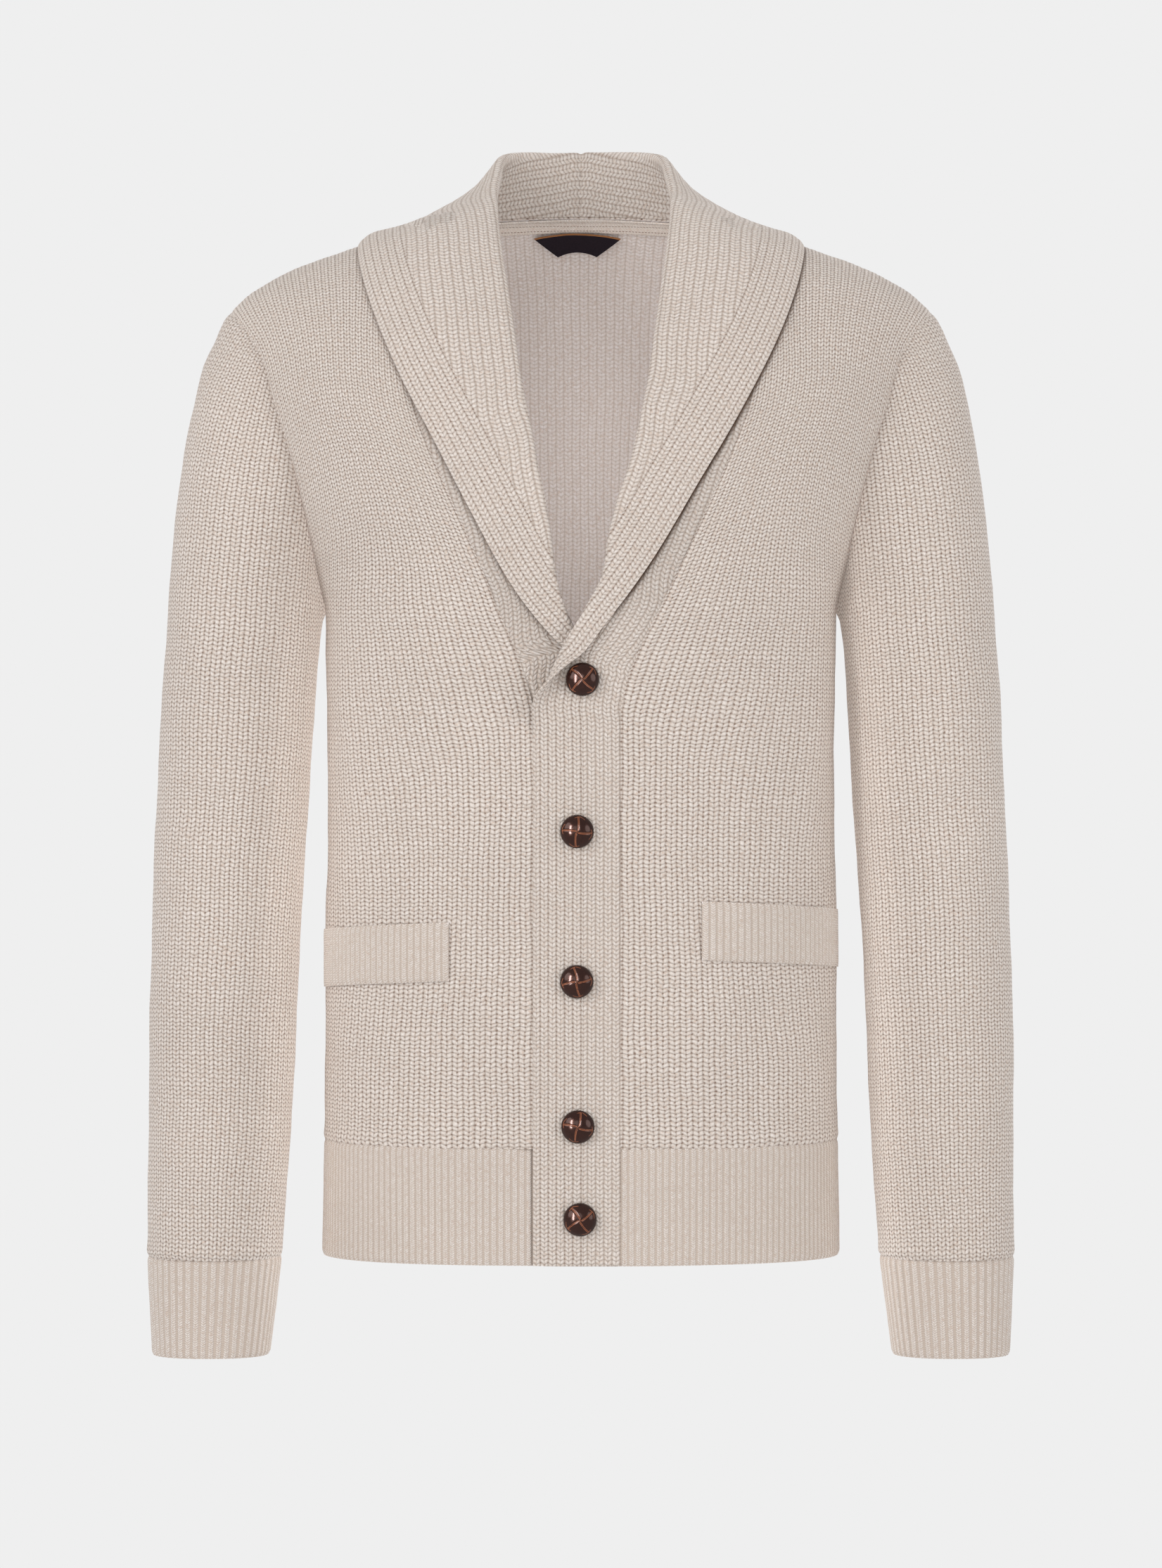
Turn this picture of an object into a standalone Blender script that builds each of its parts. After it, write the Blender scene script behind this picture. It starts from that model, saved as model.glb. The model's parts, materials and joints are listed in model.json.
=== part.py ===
"""Shawl collar cardigan, worn form, hollow, as cloth walls.

Every cut and sewn piece is its own closed wall.  Tables and sizes are in
millimetres and are turned into metres when a mesh is made.  +Z is up, the
front faces -Y, and +X is the wearer's left.  The origin lies midway between
the two neck points of the shoulder seams, where the wearer's neck comes out.

A panel is a grid of points on the cloth's outer face, worked out from the
torso and sleeve tables below.  Panels that share a seam share its points and
its normals, so their cut edges stay parallel with a small gap between them.
"""

import math

import bmesh
import bpy
from mathutils import Vector

MM = 0.001
COLLECTION = "shawl_collar_cardigan"

# ---------------------------------------------------------------- sizes, mm
CLOTH = 3.0                 # wall of the knitted cloth
SEAM_GAP = 0.3              # between two sewn edges
UNDER_GAP = 1.5             # air between the collar's fall and what it lies on
WELT_GAP = 0.6              # air between a pocket welt and the front
WELT_CLOTH = 2.4
TRIM_GAP = 0.4              # air between tape or button and the cloth
LABEL_GAP = 0.9             # air between the label and the tape
SHOULDER_AIR = 1.8          # more air under the fall where it crosses the shoulder
SHOULDER_AIR_REACH = 60.0   # how far before and behind the shoulder seam

HEM_Z = -655.0              # bottom edge of the body
HEM_SEAM_Z = -583.0         # top of the hem rib
CUFF_SEAM_Z = -655.0
CUFF_Z = -716.0
UNDERARM_Z = -250.0
TIP_X = 221.0               # outer end of the shoulder seam
TIP_Z = -60.0
NECK_X = 98.0               # inner end of the shoulder seam
SHOULDER_Y = 5.0            # depth of the shoulder seam

ROUNDNESS = 2.45            # exponent of the torso's oval sections
SHOULDER_ROLL = 110.0       # height over which the shoulder rounds over
ROLL_POWER = 2.2

SHOULDER_SPREAD = 90.0      # height over which the rows bend up to the shoulder
LAP_START = 96.0            # distance from the middle where the fronts part
LAP_SPAN = 62.0             # width over which they do

BAND_WIDTH = 53.8

RIB_PITCH = 4.35            # hem rib, one wale
RIB_RISE = 0.5
WELT_RIB_PITCH = 4.6
CUFF_RIB_PITCH = 5.4
FINE_STEPS = 60             # points on a section before it is divided into ribs
CUFF_STEPS = 240

BUTTON_RADIUS = 10.4
BUTTON_HEIGHT = 7.2
BUTTON_RIM = 1.6            # height of the widest ring
BUTTON_EDGE = 1.3           # how far the flat underside is inside that ring
BUTTON_STEPS = 16
BUTTON_ARCS = 5
BUTTON_SPOTS = (            # x, z of each button's centre
    (0.9, -295.0),
    (-2.4, -388.0),
    (-2.6, -480.0),
    (-1.9, -569.0),
    (-0.6, -626.0),
)

# --------------------------------------------------------- tables, z upward
# height z: half width of the torso's oval section, side to side
HALF_WIDTH = (
    (-655, 163.0), (-610, 162.2), (-570, 161.8), (-503, 161.0), (-437, 160.8),
    (-397, 159.6), (-330, 159.6), (-290, 160.4), (-250, 161.0), (-230, 166.0),
    (-207, 174.0), (-185, 183.0), (-164, 192.0), (-100, 215.0), (-80, 224.0),
    (-63, 236.0), (0, 252.0),
)
# height z: how far the chest stands forward of the side line
FRONT_DEPTH = (
    (-655, 105.0), (-583, 108.0), (-430, 112.0), (-250, 118.0), (-200, 118.0),
    (-150, 113.0), (-100, 101.0), (-50, 88.0), (0, 80.0), (40, 76.0),
)
# height z: how far the back stands behind the side line
BACK_DEPTH = (
    (-655, 100.0), (-583, 97.0), (-430, 87.0), (-300, 98.0), (-200, 113.0),
    (-150, 115.0), (-100, 109.0), (-50, 98.0), (0, 85.0), (40, 80.0),
)
# distance x from the middle: height of the shoulder's ridge
SHOULDER_LINE = (
    (0, 32.0), (30, 26.0), (60, 15.0), (85, 4.5), (98, 0.0), (115, -7.0),
    (145, -20.5), (170, -29.0), (188, -36.5), (208, -48.0), (221, -60.0),
)
# distance x from the middle: height of the back neck seam
BACK_NECK = ((0, 7.2), (27, 6.4), (52, 4.6), (75, 2.5), (90, 0.9), (98, 0.0))

# height z: x of the armhole seam
ARMHOLE = (
    (-250, 161.0), (-232, 164.8), (-210, 168.6), (-188, 173.0), (-168, 177.8),
    (-144, 184.0), (-125, 190.8), (-100, 197.3), (-83, 204.5), (-76, 209.5),
    (-70, 213.5), (-64, 218.5), (-60, 221.0),
)
# height z: x of the seam between a front and its band or collar
NECKLINE = (
    (-655, 26.9), (-315, 26.9), (-303, 29.0), (-287, 34.0), (-271, 40.6),
    (-250, 50.5), (-230, 59.3), (-216, 65.5), (-203, 71.5), (-184, 80.0),
    (-165, 88.5), (-147, 96.0), (-125, 103.5), (-108, 106.5), (-90, 106.5),
    (-60, 105.0), (-30, 102.0), (0, 98.0),
)
# height z: how far the front opening is off the middle, towards +x
SEAM_LEAN = ((-655, -2.6), (-300, -2.6), (-250, -1.5), (-230, -0.4), (-200, 0.0), (50, 0.0))
ROLL_LEAN = (
    (-655, -2.6), (-250, -2.6), (-228, -1.5), (-185, 0.0), (-145, 2.0),
    (0, 1.8), (46, 0.9), (49, 0.0),
)
EDGE_LEAN = (
    (-655, -2.6), (-285, -2.8), (-252, -5.0), (-226, -4.5), (-193, -3.5),
    (-169, -2.5), (-138, -1.0), (-60, 0.0), (50, 0.0),
)
# height z: half the step between the lapped fronts, under and over
LAP = ((-655, 2.0), (-335, 2.0), (-308, 4.8), (-262, 4.8), (-225, 1.5), (-190, 0.0), (50, 0.0))

# rows of the front and back grids: height at the side or armhole, and height
# at the front's inner seam
ROWS = (
    (-583, -583), (-545, -500), (-508, -420), (-472, -350), (-437, -325),
    (-403, -311), (-370, -299), (-338, -290), (-307, -277), (-278, -264),
    (-250, -250), (-232, -230), (-213, -205), (-194, -184), (-175, -165),
    (-156, -147), (-137, -125), (-118, -100), (-100, -72), (-84, -42),
    (-71, -18), (-63.5, -5), (-60, 0),
)
UNDERARM_ROW = 10
# columns of a front, from the side towards the middle, as parts of the way
FRONT_COLUMNS = (0.0, 0.024, 0.096, 0.229, 0.41, 0.602, 0.807, 1.0)

# collar stations up the front: height at the seam, then the roll's x, y, z
# and the outer edge's x, z
COLLAR_FRONT = (
    (-277, -1.4, -118.0, -261.0, 12.7, -266.5),
    (-264, 7.6, -118.6, -246.0, 23.6, -252.2),
    (-250, 13.4, -118.6, -230.0, 33.6, -239.1),
    (-230, 17.0, -116.6, -208.5, 44.7, -222.3),
    (-205, 22.3, -112.5, -182.5, 58.8, -198.8),
    (-184, 28.0, -108.0, -163.0, 70.4, -180.2),
    (-165, 32.0, -102.0, -143.5, 79.8, -161.9),
    (-147, 36.0, -95.0, -125.0, 90.3, -144.6),
    (-125, 40.0, -86.0, -104.0, 102.5, -124.2),
    (-100, 43.8, -72.5, -78.0, 114.3, -100.6),
    (-72, 48.0, -57.0, -52.0, 124.6, -76.5),
    (-42, 51.8, -40.0, -27.0, 133.5, -52.0),
    (-18, 54.2, -21.0, -7.0, 138.0, -34.0),
    (-5, 54.6, -8.0, 5.0, 139.6, -23.0),
    (0, 54.7, 4.0, 14.5, 140.0, -17.9),
)
# collar stations round the back: x at the seam, then as above
COLLAR_BACK = (
    (90, 54.0, 20.0, 28.0, 137.0, -20.5),
    (75, 52.0, 44.0, 42.5, 122.0, -27.0),
    (52, 42.5, 61.0, 47.6, 90.0, -34.0),
    (27, 24.0, 72.5, 49.0, 48.0, -39.0),
    (0, 0.0, 76.0, 49.3, 0.0, -41.0),
)
# stations where the band's free edge rolls up into the collar: height at the
# seam, tilt of the row, turn of the edge, and the turned width of the upper
# and of the lower lap, in degrees and mm
BAND_TURN = (
    (-655, 0.0, 0.0, 6.0, 2.0),
    (-583, 0.0, 0.0, 6.0, 2.0),
    (-500, 0.0, 0.0, 6.0, 2.0),
    (-420, 0.0, 0.0, 6.0, 2.0),
    (-350, 0.0, 0.0, 6.0, 2.0),
    (-325, 0.0, 0.0, 6.0, 2.0),
    (-311, 4.0, 45.0, 6.5, 1.0),
    (-299, 10.0, 115.0, 7.5, 1.5),
    (-290, 16.0, 180.0, 9.0, 6.0),
)
BAND_STAND = 41.5           # width of the band's flat part, to the turn

STAND_SPANS = 4
FOLD_SPANS = 4
FALL_SPANS = 5
FRONT_BEND = 0.42           # part of the stand that still lies in the front's plane
BACK_BEND = 0.3
LYING_STEPS = 6             # points of the fall's path over the body
UNDER_STEPS = 20            # points of its path over the stand
SETTLE_ROUNDS = 40          # rounds that smooth the fall's hollows

# sleeve rings: height at the outer side, height at the inner side, half
# depth front to back, and depth of the middle
SLEEVE_RINGS = (
    (-60, -250, 52.0, 2.0), (-66, -251.2, 54.5, 2.0), (-78, -252.6, 56.5, 2.0),
    (-96, -254.2, 58.0, 1.0), (-120, -256, 59.0, 0.0), (-150, -258, 60.0, 0.0),
    (-185, -260.5, 60.0, 0.0), (-222, -264, 59.5, -1.0), (-262, -273, 59.0, -2.0),
    (-305, -308, 58.0, -3.0), (-350, -352, 56.0, -5.0), (-400, -401, 54.0, -8.0),
    (-455, -455, 52.0, -12.0), (-510, -510, 49.5, -16.0), (-565, -565, 46.5, -20.0),
    (-615, -615, 43.0, -25.0), (-655, -655, 39.5, -29.0),
)
SLEEVE_OUTER = (
    (-720, 268.0), (-701, 269.5), (-674, 270.9), (-648, 271.6), (-570, 271.7),
    (-503, 271.6), (-437, 269.5), (-397, 268.8), (-330, 265.6), (-290, 264.1),
    (-263, 261.4), (-237, 260.0), (-210, 257.7), (-183, 255.0), (-157, 251.7),
    (-130, 246.8), (-117, 244.0), (-103, 241.0), (-90, 237.0), (-74, 229.4),
    (-66, 226.0), (-60, 221.0),
)
SLEEVE_INNER = (
    (-720, 195.5), (-701, 193.0), (-674, 189.3), (-648, 187.1), (-609, 184.5),
    (-570, 182.0), (-503, 179.2), (-437, 176.4), (-397, 173.8), (-330, 169.6),
    (-290, 167.1), (-263, 164.7), (-256, 163.6), (-250, 161.0),
)
SLEEVE_ROUNDNESS = 2.2
EVEN_RINGS = 7              # rings over which the columns spread out evenly
FADE_RINGS = 5              # rings over which the armhole's own shape fades
CUFF_DEPTHS = ((-720, 33.5), (-655, 38.0))
CUFF_MIDDLE = ((-720, -33.0), (-655, -29.0))

# pocket welts: side, x of the inner end, height of the top at the inner end
# and at the side seam
WELTS = (
    ("left", 74.0, -431.0, -438.0),
    ("right", 81.0, -444.0, -450.5),
)
WELT_HEIGHT = 36.0
WELT_SIDE = 0.997           # part of the half width that a welt reaches

TAPE_CLOTH = 1.2
TAPE_TOP = 0.12             # parts of a row that the tape's edges lie below its row
TAPE_BOTTOM = 0.24
LABEL_X = -2.3              # middle of the label
LABEL_TOP_Z = -0.8
LABEL_TOP_X = 28.5          # half width at the top
LABEL_BOTTOM_X = 13.0       # half width at the bottom
LABEL_HEIGHT = 14.0
LABEL_ARCH = 3.2            # rise of the middle over the corners
LABEL_CLOTH = 1.0


# ------------------------------------------------------------- small maths
def smooth_table(table, at):
    """Value at `at` on a smooth curve through a table of (key, value) rows."""
    if at <= table[0][0]:
        return table[0][1]
    if at >= table[-1][0]:
        return table[-1][1]
    index = next(i for i in range(len(table) - 1) if at <= table[i + 1][0])
    (x0, y0), (x1, y1) = table[index], table[index + 1]
    step = (y1 - y0) / (x1 - x0)
    before = step
    after = step
    if index > 0:
        before = (y0 - table[index - 1][1]) / (x0 - table[index - 1][0])
    if index < len(table) - 2:
        after = (table[index + 2][1] - y1) / (table[index + 2][0] - x1)
    slope0 = slope_between(before, step)
    slope1 = slope_between(step, after)
    width = x1 - x0
    t = (at - x0) / width
    return (
        y0 * (1 + 2 * t) * (1 - t) ** 2
        + slope0 * width * t * (1 - t) ** 2
        + y1 * t * t * (3 - 2 * t)
        + slope1 * width * t * t * (t - 1)
    )


def slope_between(first, second):
    """Slope at a table's row that never overshoots its neighbours."""
    if first * second <= 0:
        return 0.0
    return 2 * first * second / (first + second)


def mix(a, b, t):
    return a + (b - a) * t


def ease(t):
    t = min(1.0, max(0.0, t))
    return t * t * (3 - 2 * t)


def signed_power(value, power):
    return math.copysign(abs(value) ** power, value)


# ------------------------------------------------------------- torso's form
def shoulder_height(x):
    return smooth_table(SHOULDER_LINE, abs(x))


def middle_depth(z):
    """Depth of the side line: straight down the sides, back at the shoulder."""
    return SHOULDER_Y * ease((z - UNDERARM_Z) / (TIP_Z - UNDERARM_Z))


def torso_depth(x, z, depths):
    """How far the outer face stands before or behind the side line."""
    across = min(1.0, abs(x) / smooth_table(HALF_WIDTH, z))
    oval = (1 - across ** ROUNDNESS) ** (1 / ROUNDNESS)
    rise = min(1.0, max(0.0, (shoulder_height(x) - z) / SHOULDER_ROLL))
    rounded = (1 - (1 - rise) ** ROLL_POWER) ** (1 / ROLL_POWER)
    return smooth_table(depths, z) * oval * rounded


def lap_step(side, x, z):
    """Outward step of the lapped fronts: the wearer's left lies on top."""
    near = ease((LAP_START - abs(x)) / LAP_SPAN)
    return side * smooth_table(LAP, z) * near


def front_face(x, z, side=0):
    """Point on the outer face of the front at x, z."""
    y = middle_depth(z) - torso_depth(x, z, FRONT_DEPTH) - lap_step(side, x, z)
    return Vector((x, y, z))


def face_normal(x, z, side, step):
    """Outward normal of the front's face, from points a step either way."""
    ahead = front_face(x + step, z, side) - front_face(x - step, z, side)
    above = front_face(x, z + step, side) - front_face(x, z - step, side)
    return ahead.cross(above).normalized()


def back_face(x, z):
    return Vector((x, middle_depth(z) + torso_depth(x, z, BACK_DEPTH), z))


# ---------------------------------------------------------------- the grids
class Panel:
    """A grid of points with a normal at each: rows upward, columns across."""

    def __init__(self, points, closed=False, flip=False):
        self.points = points
        self.closed = closed
        self.flip = flip
        self.rows = len(points)
        self.columns = len(points[0])
        self.normals = [
            [self.normal_at(i, j) for j in range(self.columns)] for i in range(self.rows)
        ]

    def normal_at(self, i, j):
        """Mean of the normals of the faces that meet at a grid point."""
        grid = self.points
        total = Vector((0, 0, 0))
        for di, dj in ((1, 1), (1, -1), (-1, -1), (-1, 1)):
            ii, jj = i + di, j + dj
            if self.closed:
                jj %= self.columns
            if 0 <= ii < self.rows and 0 <= jj < self.columns:
                up = (grid[ii][j] - grid[i][j]) * di
                across = (grid[i][jj] - grid[i][j]) * dj
                total += across.cross(up)
        if self.flip:
            total = -total
        return total.normalized()


def sew(*edges):
    """Give the shared points of sewn edges one mean normal.

    Each edge is a panel and the list of (row, column) places along the seam.
    """
    for places in zip(*[edge[1] for edge in edges]):
        total = Vector((0, 0, 0))
        for (panel, _), (i, j) in zip(edges, places):
            total += panel.normals[i][j]
        total.normalize()
        for (panel, _), (i, j) in zip(edges, places):
            panel.normals[i][j] = total.copy()


def drawn_back(panel, i, j, sides):
    """The point i, j pulled back from the cut edges that it lies on."""
    grid = panel.points
    point = grid[i][j].copy()
    last_row, last_column = panel.rows - 1, panel.columns - 1
    moves = []
    if i == 0 and "bottom" in sides:
        moves.append((grid[1][j] - grid[0][j], along_row(panel, i, j)))
    if i == last_row and "top" in sides:
        moves.append((grid[i - 1][j] - grid[i][j], along_row(panel, i, j)))
    if j == 0 and "start" in sides:
        moves.append((grid[i][1] - grid[i][0], along_column(panel, i, j)))
    if j == last_column and "end" in sides:
        moves.append((grid[i][j - 1] - grid[i][j], along_column(panel, i, j)))
    for inward, edge in moves:
        across = inward - edge * inward.dot(edge)
        point += across.normalized() * (SEAM_GAP / 2)
    return point


def along_row(panel, i, j):
    row = panel.points[i]
    if panel.closed:
        count = panel.columns
        return (row[(j + 1) % count] - row[j - 1]).normalized()
    return (row[min(j + 1, panel.columns - 1)] - row[max(j - 1, 0)]).normalized()


def along_column(panel, i, j):
    upper = panel.points[min(i + 1, panel.rows - 1)][j]
    lower = panel.points[max(i - 1, 0)][j]
    return (upper - lower).normalized()


def wall(name, panel, material, out=0.0, into=CLOTH, cut=(), rise=None):
    """Closed wall on a panel: `out` above its points and `into` below them.

    `cut` names the edges that are drawn back for the seam gap, and `rise`
    gives an extra height of the outer face at each row and column.
    """
    mesh = bmesh.new()
    outer = []
    inner = []
    for i in range(panel.rows):
        outer.append([])
        inner.append([])
        for j in range(panel.columns):
            point = drawn_back(panel, i, j, cut)
            normal = panel.normals[i][j]
            height = out + (rise(i, j) if rise else 0.0)
            outer[i].append(mesh.verts.new((point + normal * height) * MM))
            inner[i].append(mesh.verts.new((point - normal * into) * MM))
    spans = panel.columns if panel.closed else panel.columns - 1
    for i in range(panel.rows - 1):
        for j in range(spans):
            k = (j + 1) % panel.columns
            mesh.faces.new((outer[i][j], outer[i][k], outer[i + 1][k], outer[i + 1][j]))
            mesh.faces.new((inner[i][j], inner[i + 1][j], inner[i + 1][k], inner[i][k]))
    for j in range(spans):
        k = (j + 1) % panel.columns
        mesh.faces.new((outer[0][j], inner[0][j], inner[0][k], outer[0][k]))
        mesh.faces.new((outer[-1][j], outer[-1][k], inner[-1][k], inner[-1][j]))
    if not panel.closed:
        for i in range(panel.rows - 1):
            mesh.faces.new((outer[i][0], outer[i + 1][0], inner[i + 1][0], inner[i][0]))
            mesh.faces.new((outer[i][-1], inner[i][-1], inner[i + 1][-1], outer[i + 1][-1]))
    bmesh.ops.recalc_face_normals(mesh, faces=mesh.faces)
    return finish(name, mesh, material)


def finish(name, mesh, material):
    """Triangulated object in the garment's collection."""
    bmesh.ops.triangulate(mesh, faces=mesh.faces)
    data = bpy.data.meshes.new(name)
    mesh.to_mesh(data)
    mesh.free()
    data.materials.append(material)
    data.shade_smooth()
    data.set_sharp_from_angle(angle=math.radians(50))
    piece = bpy.data.objects.new(name, data)
    bpy.data.collections[COLLECTION].objects.link(piece)
    return piece


# --------------------------------------------------------------- the panels
def neckline_point(side, z):
    """Point of the seam between a front and its band or collar."""
    x = side * smooth_table(NECKLINE, z) + smooth_table(SEAM_LEAN, z)
    if z >= 0:
        return Vector((x, SHOULDER_Y, 0.0))
    return front_face(x, z, side)


def front_grid(side):
    """Front panel from its side and armhole to the band and neckline seam."""
    grid = []
    for side_z, seam_z in ROWS:
        start_x = side * smooth_table(ARMHOLE, side_z)
        if side_z <= UNDERARM_Z:
            start_x = side * smooth_table(HALF_WIDTH, side_z)
        end = neckline_point(side, seam_z)
        near_top = ease(1 - (TIP_Z - side_z) / SHOULDER_SPREAD)
        row = []
        for part in FRONT_COLUMNS:
            x = mix(start_x, end.x, part)
            z = mix(side_z, seam_z, part)
            chord = mix(TIP_Z, 0.0, (TIP_X - abs(x)) / (TIP_X - NECK_X))
            z += near_top * (shoulder_height(x) - chord) * (0 < part < 1)
            row.append(front_face(x, z, side))
        row[-1] = end
        grid.append(row)
    return grid


def back_grid():
    """Back panel from the wearer's right side to the left."""
    half = [mix(TIP_X, NECK_X, part) for part in FRONT_COLUMNS]
    half += [row[0] for row in COLLAR_BACK]
    tops = [-x for x in half] + half[-2::-1]
    level_part = UNDERARM_Z - HEM_SEAM_Z
    grid = []
    for side_z, seam_z in ROWS:
        side_x = smooth_table(ARMHOLE, side_z)
        if side_z <= UNDERARM_Z:
            side_x = smooth_table(HALF_WIDTH, side_z)
        near_top = ease(1 - (TIP_Z - side_z) / SHOULDER_SPREAD)
        row = []
        for top_x in tops:
            x = top_x * side_x / TIP_X
            inward = (TIP_X - abs(top_x)) / (TIP_X - NECK_X)
            middle_z = mix(side_z, seam_z, min(1.0, (side_z - HEM_SEAM_Z) / level_part))
            z = mix(side_z, middle_z, min(1.0, inward))
            chord = mix(TIP_Z, 0.0, min(1.0, inward))
            if abs(top_x) > NECK_X:
                z += near_top * (shoulder_height(top_x) - chord) * (inward > 0)
            else:
                z += near_top * smooth_table(BACK_NECK, abs(top_x))
            row.append(back_face(x, z))
        grid.append(row)
    return grid


def rib_columns(length, pitch):
    """Even number of columns that gives whole ribs along a length."""
    return 2 * round(length / pitch)


def run_length(points):
    return sum((b - a).length for a, b in zip(points, points[1:]))


def section_line(z, start, end, face):
    """Points along a torso section from one x to another, closer at the sides."""
    half = smooth_table(HALF_WIDTH, z)
    first = math.acos(max(-1.0, min(1.0, start / half)))
    last = math.acos(max(-1.0, min(1.0, end / half)))
    turns = [mix(first, last, i / FINE_STEPS) for i in range(FINE_STEPS + 1)]
    return [face(half * math.cos(turn), z) for turn in turns]


def even_points(points, count):
    """The same line with `count` equal steps."""
    lengths = [0.0]
    for a, b in zip(points, points[1:]):
        lengths.append(lengths[-1] + (b - a).length)
    spaced = []
    index = 0
    for step in range(count + 1):
        want = lengths[-1] * step / count
        while index < len(points) - 2 and lengths[index + 1] < want:
            index += 1
        span = lengths[index + 1] - lengths[index]
        spaced.append(points[index].lerp(points[index + 1], (want - lengths[index]) / span))
    return spaced


def hem_grid(start, end, face):
    """Hem rib between two places, each an x for the bottom and the top."""
    bottom = section_line(HEM_Z, start[0], end[0], face)
    top = section_line(HEM_SEAM_Z, start[1], end[1], face)
    count = rib_columns(run_length(top), RIB_PITCH)
    return [even_points(bottom, count), even_points(top, count)]


def rib_rise(columns, closed=False):
    """Outer face of a rib: every other column stands up, edges stay low."""
    def rise(_, j):
        if not closed and j in (0, columns - 1):
            return 0.0
        return RIB_RISE * (j % 2)
    return rise


# -------------------------------------------------------------- the sleeves
def oval_place(angle):
    """Unit oval of a sleeve ring at an angle, outer side first."""
    power = 2 / SLEEVE_ROUNDNESS
    return signed_power(math.cos(angle), power), signed_power(math.sin(angle), power)


def ring_frame(side, ring):
    """Middle, half width, outward direction and half depth of a ring."""
    outer_z, inner_z, depth, middle = ring
    outer = Vector((side * smooth_table(SLEEVE_OUTER, outer_z), middle, outer_z))
    inner = Vector((side * smooth_table(SLEEVE_INNER, inner_z), middle, inner_z))
    across = outer - inner
    return (outer + inner) / 2, across.length / 2, across.normalized(), depth


def ring_point(frame, angle):
    centre, half, outward, depth = frame
    c, s = oval_place(angle)
    return centre + outward * (half * c) + Vector((0, -depth * s, 0))


def angle_on(frame, point):
    """Angle at which a point lies on a ring's oval."""
    centre, half, outward, depth = frame
    c = (point - centre).dot(outward) / half
    s = -(point - centre).y / depth
    power = SLEEVE_ROUNDNESS / 2
    return math.atan2(signed_power(s, power), signed_power(c, power))


def sleeve_grid(side, armhole):
    """Tube from the armhole's points to the cuff seam.

    The armhole runs from the underarm up the front, over the shoulder tip and
    down the back, and so do the columns.
    """
    count = len(armhole)
    first = ring_frame(side, SLEEVE_RINGS[0])
    own = [angle_on(first, point) for point in armhole]
    own[0] = math.pi
    own = [angle % (2 * math.pi) for angle in own]
    even = [(math.pi - 2 * math.pi * i / count) % (2 * math.pi) for i in range(count)]
    own = [nearest_turn(a, b) for a, b in zip(own, even)]
    offsets = [point - ring_point(first, a) for point, a in zip(armhole, own)]
    grid = [[point.copy() for point in armhole]]
    for k in range(1, len(SLEEVE_RINGS)):
        frame = ring_frame(side, SLEEVE_RINGS[k])
        settle = ease(k / EVEN_RINGS)
        fade = 1 - ease(k / FADE_RINGS)
        row = []
        for i in range(count):
            angle = mix(own[i], even[i], settle)
            row.append(ring_point(frame, angle) + offsets[i] * fade)
        grid.append(row)
    return grid


def nearest_turn(angle, goal):
    """The same angle, written on the same turn as the goal."""
    while angle - goal > math.pi:
        angle -= 2 * math.pi
    while goal - angle > math.pi:
        angle += 2 * math.pi
    return angle


def cuff_grid(side):
    """Cuff rib, from its open end up to the sleeve."""
    rows = []
    for z in (CUFF_Z, CUFF_SEAM_Z):
        ring = (z, z, smooth_table(CUFF_DEPTHS, z), smooth_table(CUFF_MIDDLE, z))
        frame = ring_frame(side, ring)
        turns = [-2 * math.pi * i / CUFF_STEPS for i in range(CUFF_STEPS + 1)]
        rows.append([ring_point(frame, turn) for turn in turns])
    count = rib_columns(run_length(rows[1]), CUFF_RIB_PITCH)
    return [even_points(row, count)[:-1] for row in rows]


# --------------------------------------------------------- band and collar
def run_normal(points, index, run):
    """Normal of a cross line at a point: square to it and to the run."""
    before = points[max(index - 1, 0)]
    after = points[min(index + 1, len(points) - 1)]
    return (after - before).cross(run).normalized()


def band_station(side, row):
    """Cross line of the band, from its seam to its free edge."""
    seam_z, tilt, turn, upper, lower = row
    flap = upper if side > 0 else lower
    fold = math.pi * (CLOTH + UNDER_GAP) / 2
    stand = BAND_STAND
    if turn == 0:
        stand = BAND_WIDTH - fold - flap
    seam = neckline_point(side, seam_z)
    way = Vector((-side * math.cos(math.radians(tilt)), 0, math.sin(math.radians(tilt))))
    turn = math.radians(turn)
    line = []
    for i in range(STAND_SPANS):
        line.append((stand * i / STAND_SPANS, 0.0))
    for i in range(FOLD_SPANS):
        bend = turn * i / FOLD_SPANS
        if turn > 0:
            radius = fold / turn
            line.append((stand + radius * math.sin(bend), radius * (1 - math.cos(bend))))
        else:
            line.append((stand + fold * i / FOLD_SPANS, 0.0))
    radius = fold / turn if turn > 0 else 0.0
    end = (stand + radius * math.sin(turn), radius * (1 - math.cos(turn)))
    if turn == 0:
        end = (stand + fold, 0.0)
    for i in range(FALL_SPANS + 1):
        out = flap * i / FALL_SPANS
        line.append((end[0] + out * math.cos(turn), end[1] + out * math.sin(turn)))
    points = []
    for along, height in line:
        spot = seam + way * along
        normal = face_normal(spot.x, spot.z, side, 1.0)
        points.append(front_face(spot.x, spot.z, side) + normal * (height - CLOTH / 2))
    return points


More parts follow.
